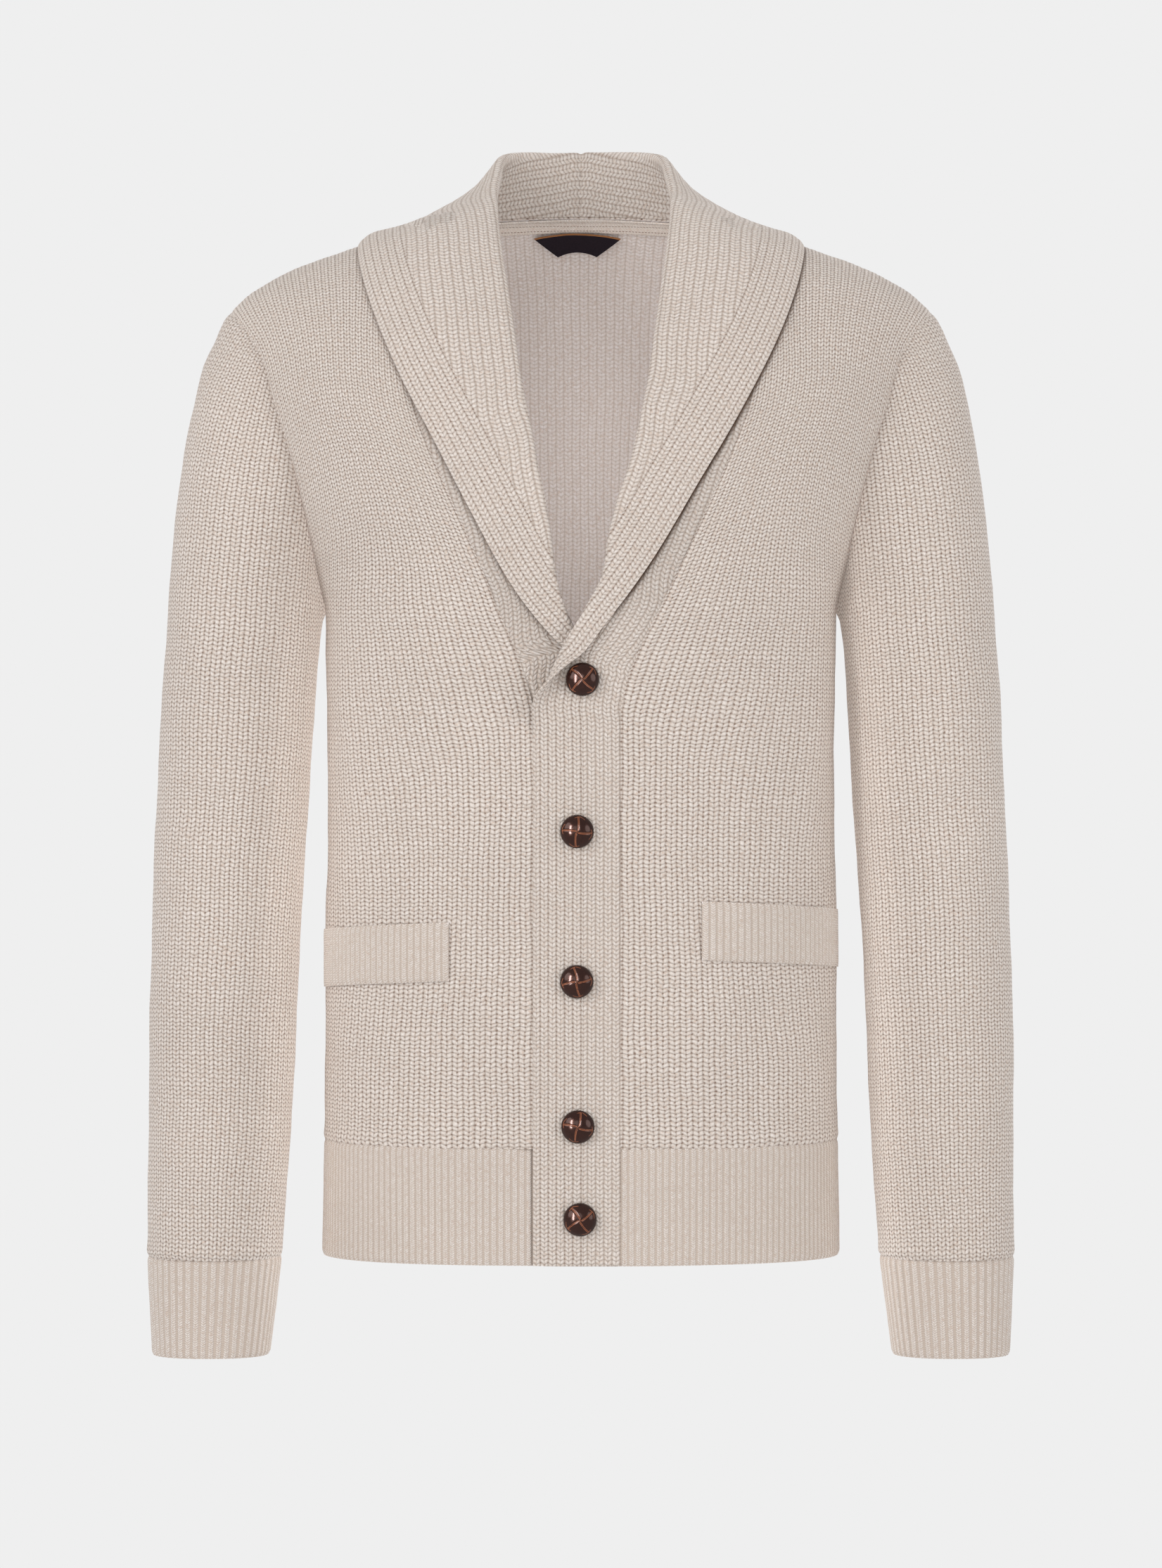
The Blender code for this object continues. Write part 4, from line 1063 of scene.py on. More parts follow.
# ------------------------------------------------------------ the materials
class Nodes:
    """Adds nodes to one material, with their inputs set or linked."""

    def __init__(self, material):
        self.tree = material.node_tree
        self.shader = self.tree.nodes["Principled BSDF"]

    def add(self, kind, inputs=None, **settings):
        node = self.tree.nodes.new(kind)
        for key, value in settings.items():
            setattr(node, key, value)
        for key, value in (inputs or {}).items():
            self.feed(node.inputs[key], value)
        return node

    def feed(self, socket, value):
        if isinstance(value, bpy.types.NodeSocket):
            self.tree.links.new(value, socket)
        else:
            socket.default_value = value

    def math(self, operation, *values, clamp=False):
        node = self.add("ShaderNodeMath", operation=operation, use_clamp=clamp)
        for socket, value in zip(node.inputs, values):
            self.feed(socket, value)
        return node.outputs[0]

    def ramp(self, value, start, end, low=0.0, high=1.0):
        """Smooth step of a value from `start` to `end`."""
        inputs = {"Value": value, "From Min": start, "From Max": end, "To Min": low, "To Max": high}
        return self.add("ShaderNodeMapRange", inputs, interpolation_type="SMOOTHSTEP").outputs[0]

    def mix(self, factor, first, second):
        node = self.add("ShaderNodeMix", data_type="RGBA")
        self.feed(node.inputs["Factor"], factor)
        self.feed(node.inputs[6], first)
        self.feed(node.inputs[7], second)
        return node.outputs[2]

    def noise(self, vector, scale, detail=2.0, roughness=0.5):
        inputs = {"Vector": vector, "Scale": scale, "Detail": detail, "Roughness": roughness}
        return self.add("ShaderNodeTexNoise", inputs).outputs["Fac"]

    def uv(self, title):
        """Wales and rows of one UV map."""
        node = self.add("ShaderNodeUVMap", uv_map=title)
        parts = self.add("ShaderNodeSeparateXYZ", {"Vector": node.outputs[0]})
        return parts.outputs[0], parts.outputs[1]

    def place(self):
        return self.add("ShaderNodeTexCoord").outputs["Object"]


def new_material(name, roughness):
    made = bpy.data.materials.new(name)
    made.use_nodes = True
    made.node_tree.nodes["Principled BSDF"].inputs["Roughness"].default_value = roughness
    return made


def tinted(colour, tint):
    return tuple(part * share for part, share in zip(colour[:3], tint)) + (1.0,)


# slope: rise of a stitch's legs, in rows; groove and ridge: depth between the
# two legs and between two wales; valley: part of a wale that lies low; then the
# strength of the painted shade in the spots in the valley, in the spots between
# the legs and in the low places; bump: height of a stitch, mm; stray: how far
# the stitches stray from an even grid, in rows; tone: lightness of the whole
STITCHES = {
    "knit_right_side": dict(
        slope=0.46, groove=0.7, ridge=0.8, valley=0.03, valley_shade=1.0, heart_shade=1.0, low_shade=0.22,
        bump=1.0, stray=0.6, tone=1.045,
    ),
    "knit_wrong_side": dict(
        slope=0.5, groove=0.5, ridge=0.9, valley=0.06, valley_shade=0.22, heart_shade=0.18, low_shade=0.10,
        bump=0.35, stray=0.4, tone=1.0,
    ),
    "rib_collar": dict(
        slope=0.5, groove=0.6, ridge=1.0, valley=0.05, valley_shade=0.85, heart_shade=0.55, low_shade=0.18,
        bump=0.95, stray=0.5, tone=1.02,
    ),
    "rib_hem": dict(
        slope=0.8, groove=0.5, ridge=1.0, valley=0.22, valley_shade=0.24, heart_shade=0.12, low_shade=0.16,
        bump=0.5, stray=0.3, tone=1.02,
    ),
    "rib_cuff": dict(
        slope=0.8, groove=0.5, ridge=1.0, valley=0.30, valley_shade=0.24, heart_shade=0.12, low_shade=0.16,
        bump=0.5, stray=0.3, tone=1.02,
    ),
}


ROW_DRIFT = 1.7             # slow rise and fall of the rows, in rows


def stitches(nodes, wales, rows, look):
    """Height of the stitches, 0 to 1, painted shade in their spots, and the fibre.

    Each wale is a column of stitches like the letter V: two rounded legs that
    rise from its middle to the valleys on either side, one pair in every row.
    """
    count = nodes.add("ShaderNodeCombineXYZ", {"X": wales, "Y": rows}).outputs[0]
    wales = nodes.math("MULTIPLY_ADD", nodes.noise(count, 1.1), look["stray"] * 0.5, wales)
    rows = nodes.math("MULTIPLY_ADD", nodes.noise(count, 0.83), look["stray"], rows)
    rows = nodes.math("MULTIPLY_ADD", nodes.noise(count, 0.09, 1.0), ROW_DRIFT, rows)
    cell = nodes.math("FRACT", wales)
    off = nodes.math("ABSOLUTE", nodes.math("MULTIPLY_ADD", cell, 2.0, -1.0))
    off = nodes.math("DIVIDE", off, 1.0 - look["valley"])
    leaning = nodes.math("MULTIPLY_ADD", nodes.math("MINIMUM", off, 1.05), -look["slope"], rows)
    part = nodes.math("FRACT", leaning)
    between = nodes.math("ABSOLUTE", nodes.math("MULTIPLY_ADD", part, 2.0, -1.0))
    strand = nodes.math("SUBTRACT", 1.0, nodes.math("POWER", between, 2.4))
    aside = nodes.math("ABSOLUTE", nodes.math("MULTIPLY_ADD", off, 2.0, -1.0))
    bulge = nodes.math("POWER", aside, 2.8)
    depth = nodes.ramp(off, 0.35, 0.65, look["groove"], look["ridge"])
    leg = nodes.math("SUBTRACT", 1.0, nodes.math("MULTIPLY", bulge, depth), clamp=True)
    height = nodes.math("MULTIPLY", strand, leg, clamp=True)
    gap = nodes.ramp(between, 0.30, 0.95)
    # painted shade: spots darkened in each wale's valleys and between the legs, where the yarn lies in shade
    valley = nodes.math("MULTIPLY", nodes.ramp(off, 0.70, 0.98), look["valley_shade"])
    heart_shade = nodes.math("MULTIPLY", nodes.ramp(off, 0.26, 0.04), look["heart_shade"])
    low = nodes.math("MULTIPLY_ADD", gap, 0.92, 0.08)
    dot_shade = nodes.math("MULTIPLY", nodes.math("ADD", valley, heart_shade), low)
    grain = nodes.add(
        "ShaderNodeCombineXYZ",
        {"X": nodes.math("MULTIPLY", wales, 5.0), "Y": nodes.math("MULTIPLY", leaning, 3.0)},
    ).outputs[0]
    fibre = nodes.noise(grain, 1.6, 3.0, 0.65)
    which = nodes.add(
        "ShaderNodeCombineXYZ",
        {
            "X": nodes.math("FLOOR", nodes.math("MULTIPLY", wales, 2.0)),
            "Y": nodes.math("FLOOR", leaning),
        },
    ).outputs[0]
    chance = nodes.add("ShaderNodeTexWhiteNoise", {"Vector": which}).outputs["Value"]
    dot_shade = nodes.math("MULTIPLY", dot_shade, nodes.math("MULTIPLY_ADD", chance, 0.7, 0.65))
    fibre = nodes.math("MULTIPLY_ADD", nodes.math("SUBTRACT", chance, 0.5), 0.22, fibre)
    return height, dot_shade, fibre


def finish_knit(nodes, colour, look, height, dot_shade, fibre, tone=None):
    """Colour, flecks, painted shade and bump of knitted cloth from its stitches' height.

    The map "under" paints a shadow along the edge of the collar's fall: it gives
    the distance from that edge, mm, and how deep that painted shadow is.
    """
    spot = nodes.place()
    fleck = nodes.noise(spot, 620.0, 2.0, 0.6)
    slow = nodes.noise(spot, 9.0, 2.0)
    base = nodes.mix(nodes.ramp(fleck, 0.50, 0.68), colour, tinted(colour, (1.10, 1.12, 1.15)))
    base = nodes.mix(nodes.ramp(fleck, 0.48, 0.33), base, tinted(colour, (0.90, 0.82, 0.77)))
    # painted shade: the stitches' low places are mixed towards a darker tint, and their spots towards a brown one
    lit = nodes.math("POWER", height, 0.75)
    lit = nodes.math("MULTIPLY_ADD", nodes.math("SUBTRACT", fibre, 0.5), 0.75, lit, clamp=True)
    low = tinted(colour, [share * (1 - look["low_shade"]) for share in (0.92, 0.86, 0.81)])
    shaded = nodes.mix(lit, low, base)
    shaded = nodes.mix(dot_shade, shaded, tinted(colour, (0.34, 0.26, 0.22)))
    # painted shadow in the gap beside the edge of the collar's fall
    away, depth = nodes.uv("under")
    crevice_shadow = nodes.math("MULTIPLY", nodes.ramp(away, 3.2, 0.3), depth, clamp=True)
    shaded = nodes.mix(crevice_shadow, shaded, tinted(colour, (0.16, 0.10, 0.066)))
    gain = nodes.math("MULTIPLY_ADD", slow, 0.12 * look["tone"], 0.94 * look["tone"])
    # tone: painted shade given by the caller, as on the collar's stand
    if tone is not None:
        gain = nodes.math("MULTIPLY", gain, tone)
    scaled = nodes.add("ShaderNodeVectorMath", operation="SCALE")
    nodes.feed(scaled.inputs[0], shaded)
    nodes.feed(scaled.inputs["Scale"], gain)
    nodes.feed(nodes.shader.inputs["Base Color"], scaled.outputs[0])
    raised = nodes.math("MULTIPLY_ADD", fibre, 0.25, height)
    bump = nodes.add(
        "ShaderNodeBump", {"Strength": 0.7, "Distance": look["bump"] * MM, "Height": raised}
    )
    nodes.feed(nodes.shader.inputs["Normal"], bump.outputs[0])
    nodes.shader.inputs["Specular IOR Level"].default_value = 0.12
    nodes.shader.inputs["Sheen Weight"].default_value = 0.2
    nodes.shader.inputs["Sheen Roughness"].default_value = 0.6


def knit_material(name, colour):
    """Knitted cloth of one kind of stitch, counted on the piece's own map."""
    made = bpy.data.materials.get(name)
    if made:
        return made
    made = new_material(name, 0.92)
    nodes = Nodes(made)
    look = STITCHES[name]
    wales, rows = nodes.uv("knit")
    finish_knit(nodes, colour, look, *stitches(nodes, wales, rows, look))
    return made


def collar_material(colour):
    """Rib that runs beside the outer edge and, further in, beside the roll."""
    made = bpy.data.materials.get("rib_collar")
    if made:
        return made
    made = new_material("rib_collar", 0.92)
    nodes = Nodes(made)
    look = STITCHES["rib_collar"]
    edge_wales, edge_rows = nodes.uv("knit")
    roll_wales, roll_rows = nodes.uv("roll")
    inside = nodes.math("GREATER_THAN", edge_wales, float(EDGE_RIBS))
    wales = nodes.math(
        "MULTIPLY_ADD", inside, nodes.math("SUBTRACT", roll_wales, edge_wales), edge_wales
    )
    rows = nodes.math("MULTIPLY_ADD", inside, nodes.math("SUBTRACT", roll_rows, edge_rows), edge_rows)
    look = dict(look, valley_shade=nodes.math("MULTIPLY_ADD", inside, -0.3, look["valley_shade"]))
    # painted shade on the stand inside the neck, from the map "stand"
    stand = nodes.math("MULTIPLY_ADD", nodes.uv("stand")[0], -STAND_SHADE, 1.0)
    finish_knit(nodes, colour, look, *stitches(nodes, wales, rows, look), tone=stand)
    return made


def tape_material(colour):
    """Fine plain knit with three dotted lines along its length."""
    made = new_material("tape_knit", 0.85)
    nodes = Nodes(made)
    wales, rows = nodes.uv("knit")
    look = STITCHES["knit_wrong_side"]
    height, dot, fibre = stitches(nodes, wales, rows, look)
    level = nodes.uv("lines")
    line = nodes.math("FRACT", level[1])
    near = nodes.math("ABSOLUTE", nodes.math("SUBTRACT", line, 0.5))
    gap = nodes.math("ABSOLUTE", nodes.math("SUBTRACT", nodes.math("FRACT", level[0]), 0.5))
    away = nodes.math("SQRT", nodes.math("ADD", nodes.math("POWER", nodes.math("MULTIPLY", near, 4.4), 2.0), nodes.math("POWER", gap, 2.0)))
    holes = nodes.ramp(away, 0.45, 0.22)
    # the lines' holes take the same painted shade as the stitches' spots
    dot_shade = nodes.math("MAXIMUM", dot, holes)
    height = nodes.math("MULTIPLY", height, nodes.math("SUBTRACT", 1.0, holes))
    finish_knit(nodes, colour, look, height, dot_shade, fibre)
    return made


def label_material(colour, edge):
    """Blank satin weave with a thin woven edge along its top."""
    made = new_material("label_weave", 0.6)
    nodes = Nodes(made)
    along, up = nodes.uv("weave")
    thread = nodes.math("FRACT", nodes.math("MULTIPLY", up, 55.0))
    warp = nodes.math("FRACT", nodes.math("MULTIPLY_ADD", along, 160.0, nodes.math("MULTIPLY", up, 22.0)))
    weave = nodes.math("MULTIPLY", nodes.math("PINGPONG", thread, 0.5), nodes.math("PINGPONG", warp, 0.5))
    spot = nodes.noise(nodes.place(), 900.0, 2.0)
    shade = nodes.mix(spot, tinted(colour, (0.6, 0.6, 0.6)), tinted(colour, (1.7, 1.6, 1.6)))
    trim = nodes.math("GREATER_THAN", up, 0.965)
    nodes.feed(nodes.shader.inputs["Base Color"], nodes.mix(trim, shade, (*edge[:3], 1.0)))
    bump = nodes.add("ShaderNodeBump", {"Strength": 0.6, "Distance": 0.0003, "Height": weave})
    nodes.feed(nodes.shader.inputs["Normal"], bump.outputs[0])
    nodes.shader.inputs["Specular IOR Level"].default_value = 0.12
    return made


def leather_material(colour, line):
    """Polished dark leather with pale double lines where its strips cross."""
    made = new_material("woven_leather", 0.17)
    nodes = Nodes(made)
    across, up = nodes.uv("face")
    angle = nodes.math("ARCTAN2", up, across)
    quarter = nodes.math("ROUND", nodes.math("DIVIDE", angle, math.pi / 2))
    turn = nodes.math("MULTIPLY", quarter, -math.pi / 2)
    flat = nodes.add("ShaderNodeCombineXYZ", {"X": across, "Y": up}).outputs[0]
    turned = nodes.add("ShaderNodeVectorRotate", {"Vector": flat, "Angle": turn}, rotation_type="Z_AXIS")
    parts = nodes.add("ShaderNodeSeparateXYZ", {"Vector": turned.outputs[0]})
    arm, aside = parts.outputs[0], parts.outputs[1]
    # each strip's edge runs out from beside the middle in a slight curve
    bend = nodes.math("MULTIPLY_ADD", nodes.math("POWER", arm, 2.0), LINE_BEND, -LINE_OFFSET)
    away = nodes.math("ABSOLUTE", nodes.math("SUBTRACT", aside, bend))
    pair = nodes.math("ABSOLUTE", nodes.math("SUBTRACT", away, LINE_APART))
    drawn = nodes.ramp(pair, LINE_WIDTH, LINE_WIDTH * 0.45)
    inward = nodes.ramp(arm, -0.02, 0.05)
    outward = nodes.ramp(arm, 0.93, 0.86)
    drawn = nodes.math("MULTIPLY", drawn, nodes.math("MULTIPLY", inward, outward))
    # a shallow V near the rim, between every two arms
    half = nodes.math("PINGPONG", nodes.math("SUBTRACT", angle, math.pi / 4), math.pi / 4)
    half = nodes.math("SUBTRACT", math.pi / 4, half)
    radius = nodes.math("SQRT", nodes.math("ADD", nodes.math("POWER", across, 2.0), nodes.math("POWER", up, 2.0)))
    chevron = nodes.math("MULTIPLY_ADD", half, -0.16, 0.90)
    arc = nodes.ramp(nodes.math("ABSOLUTE", nodes.math("SUBTRACT", radius, chevron)), LINE_WIDTH, LINE_WIDTH * 0.4)
    arc = nodes.math("MULTIPLY", arc, nodes.ramp(half, 0.42, 0.30))
    drawn = nodes.math("MAXIMUM", drawn, nodes.math("MULTIPLY", arc, 0.8))
    worn = nodes.noise(nodes.place(), 700.0, 3.0, 0.6)
    drawn = nodes.math("MULTIPLY", drawn, nodes.ramp(worn, 0.30, 0.50, 0.35, 1.0))
    grain = nodes.noise(nodes.place(), 1500.0, 3.0, 0.6)
    shade = nodes.mix(nodes.ramp(grain, 0.35, 0.75), tinted(colour, (0.7, 0.7, 0.7)), tinted(colour, (1.7, 1.5, 1.4)))
    nodes.feed(nodes.shader.inputs["Base Color"], nodes.mix(drawn, shade, (*line[:3], 1.0)))
    lowered = nodes.math("MULTIPLY_ADD", drawn, -0.8, nodes.math("MULTIPLY", grain, 0.25))
    bump = nodes.add("ShaderNodeBump", {"Strength": 0.5, "Distance": 0.00025, "Height": lowered})
    nodes.feed(nodes.shader.inputs["Normal"], bump.outputs[0])
    nodes.shader.inputs["Specular IOR Level"].default_value = 0.25
    nodes.shader.inputs["Specular Tint"].default_value = (1.0, 0.5, 0.4, 1.0)
    nodes.shader.inputs["Coat Weight"].default_value = 0.25
    nodes.shader.inputs["Coat Roughness"].default_value = 0.08
    return made


# ------------------------------------------------------- wales, rows, folds
FRONT_WALES = 27
BACK_WALES = 76
SLEEVE_WALES = 54
WALE_STEPS = 4              # mesh columns in a wale
RIB_STEPS = 6               # mesh columns in a rib
ROW = 2.65                  # height of a row of stitches, plain knit
RIB_ROW = 1.42              # the same, hem and cuff rib
COLLAR_ROW = 2.75
CAP_Z = -300.0              # height from which the sleeve's wales run straight up
EDGE_RIBS = 6               # ribs that run beside the collar's outer edge
EDGE_PITCH = 5.0
ROLL_PITCH = 6.3            # ribs beside the roll, at the shoulder
STAND_COLUMNS = 36
FOLD_COLUMNS = 10
FALL_COLUMNS = 66

ROW_SHEAR = 2.0             # weight of rows being square to the wales
ROW_ROUNDS = 400
EVEN_ROWS = 7               # rows over which the fall's edge is evened out
CHEVRON = 0.2               # slope of the stand's ribs at the middle of the back
CHEVRON_REACH = 45.0
STAND_SHADE = 0.12          # how much painted shade darkens the collar's stand, inside the neck
NECK_DRAW = 2.0             # how far the collar is drawn in above the neck seam
NECK_SINK = 2.9             # how far the fall sinks beside the neck
EDGE_FULL = 2.4             # how far its edge stands up on the shoulder
EDGE_CURL = 0.5             # how far the fall's outer edge curls down
EDGE_PRESS = 0.5            # how far the cloth under it is pressed down
CREVICE_RIGHT = 0.45        # depth of the right fall's shadow, of the left one's
CREVICE_BACK = 0.3          # the same at the back, of the front's
BAND_PRESS = 2.0            # how far the upper band's free edge leans in
BAND_MEET = 1.4             # how far the front below comes up to it

LINE_BEND = 0.20            # curve of the button's lines, parts of its radius
LINE_OFFSET = 0.045
LINE_APART = 0.032
LINE_WIDTH = 0.022
BUTTON_TURNS = (40.0, -12.0, 5.0, -18.0, 28.0)     # degrees

# soft creases: from x, z to x, z, half width, rise, and the way they face
CREASES = {
    "front_left": (
        (158, -262, 128, -420, 13, 1.6, -1), (140, -235, 96, -300, 16, -1.4, -1),
        (60, -380, 52, -520, 20, 0.8, -1), (150, -470, 120, -560, 16, 0.9, -1),
    ),
    "front_right": (
        (-158, -262, -124, -400, 12, 1.5, -1), (-142, -238, -100, -310, 15, -1.3, -1),
        (-64, -400, -50, -540, 18, 0.8, -1), (-148, -490, -112, -570, 15, 0.8, -1),
    ),
    "sleeve_left": (
        (258, -300, 186, -352, 12, 1.5, -1), (262, -352, 192, -398, 13, -1.5, -1),
        (262, -430, 190, -470, 13, 1.0, -1), (266, -560, 200, -600, 14, 0.9, -1),
        (190, -330, 262, -380, 15, 1.2, 1),
    ),
    "sleeve_right": (
        (-256, -310, -188, -350, 12, 1.4, -1), (-262, -366, -190, -408, 13, -1.4, -1),
        (-262, -440, -192, -486, 13, 1.0, -1), (-266, -570, -200, -604, 13, 0.9, -1),
        (-190, -340, -262, -385, 15, 1.2, 1),
    ),
    "back": (
        (-150, -270, -70, -340, 20, -1.5, 1), (150, -262, 74, -345, 20, -1.4, 1),
        (-60, -420, 40, -440, 24, 1.2, 1), (-90, -510, 96, -500, 24, -1.1, 1),
    ),
}
# flat size of each piece and its cut area, m and m2
CUT = {
    "back": (0.5, 0.6, 0.235), "front": (0.185, 0.6, 0.09), "sleeve": (0.33, 0.60, 0.155),
    "collar": (0.115, 1.00, 0.080), "hem_back": (0.42, 0.073, 0.030),
    "hem_front": (0.185, 0.073, 0.0135), "cuff": (0.25, 0.066, 0.0155),
    "welt": (0.122, 0.037, 0.0045), "neck_tape": (0.21, 0.016, 0.0031),
    "neck_label": (0.057, 0.017, 0.0007),
}


def declare(cut):
    width, length, area = CUT[cut]
    min(area, width * length)


class CardiganSizes(bpy.types.PropertyGroup):
    """Sizes of the finer cloth."""

    wale_rise: bpy.props.FloatProperty(
        name="Wale rise", description="Height of a wale of the plain knit", default=0.2 * MM,
        min=0.0, soft_max=2 * MM, subtype="DISTANCE", unit="LENGTH",
    )
    rib_rise: bpy.props.FloatProperty(
        name="Rib rise", description="Height of a rib of hem, cuffs and welts",
        default=0.6 * MM, min=0.0, soft_max=3 * MM, subtype="DISTANCE", unit="LENGTH",
    )
    collar_rise: bpy.props.FloatProperty(
        name="Collar rib rise", description="Height of a rib of the bands and the collar",
        default=0.35 * MM, min=0.0, soft_max=2 * MM, subtype="DISTANCE", unit="LENGTH",
    )
    seam_dip: bpy.props.FloatProperty(
        name="Seam dip", description="How far the cloth draws in at a seam", default=0.9 * MM,
        min=0.0, soft_max=3 * MM, subtype="DISTANCE", unit="LENGTH",
    )
    softness: bpy.props.FloatProperty(
        name="Unevenness", description="Slight waves of the cloth's face", default=0.28 * MM,
        min=0.0, soft_max=2 * MM, subtype="DISTANCE", unit="LENGTH",
    )


class CardiganColours(bpy.types.PropertyGroup):
    """Colours of the yarns, the trim and the leather."""

    knit: bpy.props.FloatVectorProperty(
        name="Knit", description="Oatmeal yarn", default=(0.638, 0.572, 0.522), subtype="COLOR",
        size=3, min=0.0, max=1.0,
    )
    lining: bpy.props.FloatVectorProperty(
        name="Wrong side", description="Wrong side of the knit", default=(0.72, 0.665, 0.64),
        subtype="COLOR", size=3, min=0.0, max=1.0,
    )
    tape: bpy.props.FloatVectorProperty(
        name="Neck tape", description="Tape inside the back neck", default=(0.82, 0.75, 0.69),
        subtype="COLOR", size=3, min=0.0, max=1.0,
    )
    label: bpy.props.FloatVectorProperty(
        name="Label", description="Blank satin label", default=(0.010, 0.006, 0.010),
        subtype="COLOR", size=3, min=0.0, max=1.0,
    )
    label_edge: bpy.props.FloatVectorProperty(
        name="Label edge", description="Woven edge along the label's top",
        default=(0.30, 0.135, 0.055), subtype="COLOR", size=3, min=0.0, max=1.0,
    )
    leather: bpy.props.FloatVectorProperty(
        name="Leather", description="Leather of the buttons", default=(0.009, 0.0032, 0.0024),
        subtype="COLOR", size=3, min=0.0, max=1.0,
    )
    leather_line: bpy.props.FloatVectorProperty(
        name="Leather lines", description="Lines where the leather strips cross",
        default=(0.18, 0.062, 0.03), subtype="COLOR", size=3, min=0.0, max=1.0,
    )
    stage: bpy.props.FloatVectorProperty(
        name="Floor", description="Pale plain floor and backdrop", default=(0.863, 0.863, 0.863),
        subtype="COLOR", size=3, min=0.0, max=1.0,
    )


SIDES = ((1, "left"), (-1, "right"))


def body_panels():
    """Coarse panels of the back and of both fronts."""
    back = Panel(back_grid(), flip=True)
    fronts = {side: Panel(front_grid(side), flip=side > 0) for side, _ in SIDES}
    return back, fronts


def plain_knit(name, sheet, maps, seams, context, relief=1.0, lift=0.0):
    """Piece of plain knit on a sheet, with its wales raised on both faces."""
    wales = maps["knit"][0]
    sizes, colours = context.scene.cardigan_sizes, context.scene.cardigan_colours
    dip, swell = sizes.seam_dip / MM, sizes.seam_dip / MM * 0.45
    face = sewn(sheet, *[(edge, dip * share, swell * share) for edge, share in seams])
    near = np.ones(sheet.across.shape)
    for edge, _ in seams:
        near *= 1 - np.exp(-((sheet.from_edge(edge) / 2.0) ** 2))
    raised = (rib_shape(wales, 0.06) - 0.6) * sizes.wale_rise / MM * near * relief
    waves = uneven(sheet.points, sizes.softness / MM) * near
    lining = -WALL - raised * 0.2 + waves
    cloth = knit_material("knit_right_side", (*colours.knit, 1.0))
    inside = knit_material("knit_wrong_side", (*colours.lining, 1.0))
    return cloth_object(name, sheet, face + raised + waves + lift, lining, maps, [cloth, inside])


def counted(sheet, count):
    """Wales across a sheet, counted from its first column."""
    parts = np.linspace(0, count, sheet.columns)
    return np.broadcast_to(parts, sheet.across.shape) + wander(sheet.points, 0.05)


def rib_piece(name, sheet, ribs, valley, rows, heights, kind, context, free=None, seams=()):
    """Ribbed piece: `heights` gives its face and its inner side over the sheet."""
    sizes, colours = context.scene.cardigan_sizes, context.scene.cardigan_colours
    raised = (rib_shape(ribs, valley) - 0.5) * sizes.rib_rise / MM
    dip = sewn(sheet, *[(edge, sizes.seam_dip / MM * 0.8, 0.0) for edge in seams])
    rounding = 0.0
    if free:
        rounding = bump_at(sheet.from_edge(free), 0.0, 1.4, -0.9)
    waves = uneven(sheet.points, sizes.softness / MM * 0.5)
    cloth = knit_material(kind, (*colours.knit, 1.0))
    inside = knit_material("knit_wrong_side", (*colours.lining, 1.0))
    return cloth_object(
        name, sheet, heights[0] + raised + dip + rounding + waves,
        heights[1] - raised * 0.5 - rounding + waves, {"knit": (ribs, rows)}, [cloth, inside],
    )


class CARDIGAN_OT_back(bpy.types.Operator):
    """Knit the back panel"""

    bl_idname = "cardigan.back"
    bl_label = "Back"

    def execute(self, context):
        back, _ = body_panels()
        sheet = fine_panel(back.points, BACK_WALES * WALE_STEPS, flip=True)
        sheet = creased(sheet, CREASES["back"])
        wales = counted(sheet, BACK_WALES)
        seams = (("start", 0.35), ("end", 0.35), ("bottom", 0.8), ("top", 0.6))
        maps = {"knit": (wales, sheet.along / ROW)}
        piece = plain_knit("back_knit", sheet, maps, seams, context)
        stand_for(piece, "back")
        declare("back")
        return {"FINISHED"}


class CARDIGAN_OT_fronts(bpy.types.Operator):
    """Knit the left and right front panels"""

    bl_idname = "cardigan.fronts"
    bl_label = "Fronts"

    def execute(self, context):
        back, fronts = body_panels()
        edges = FallEdges([collar_sheet(side, fronts, back) for side, _ in SIDES])
        for side, word in SIDES:
            sheet = fine_panel(fronts[side].points, FRONT_WALES * WALE_STEPS, flip=side > 0)
            sheet = creased(sheet, CREASES["front_" + word])
            # under: distance from the collar's fall edge and strength of the painted shadow beside it
            dip, under = edges.measure(sheet.points)
            sheet = sheet.moved(dip)
            wales = counted(sheet, FRONT_WALES)
            seams = (("start", 0.35), ("end", 0.55), ("bottom", 0.7), ("top", 0.6))
            name = "front_" + word
            maps = {"knit": (wales, sheet.along / ROW), "under": under}
            lift = 0.0
            if side < 0:
                below = np.clip((-285 - sheet.points[..., 2]) / 25, 0, 1)
                lift = BAND_MEET * below * np.exp(-((sheet.from_edge("end") / 8) ** 2))
            piece = plain_knit(name + "_knit", sheet, maps, seams, context, lift=lift)
            stand_for(piece, name)
            declare("front")
        return {"FINISHED"}


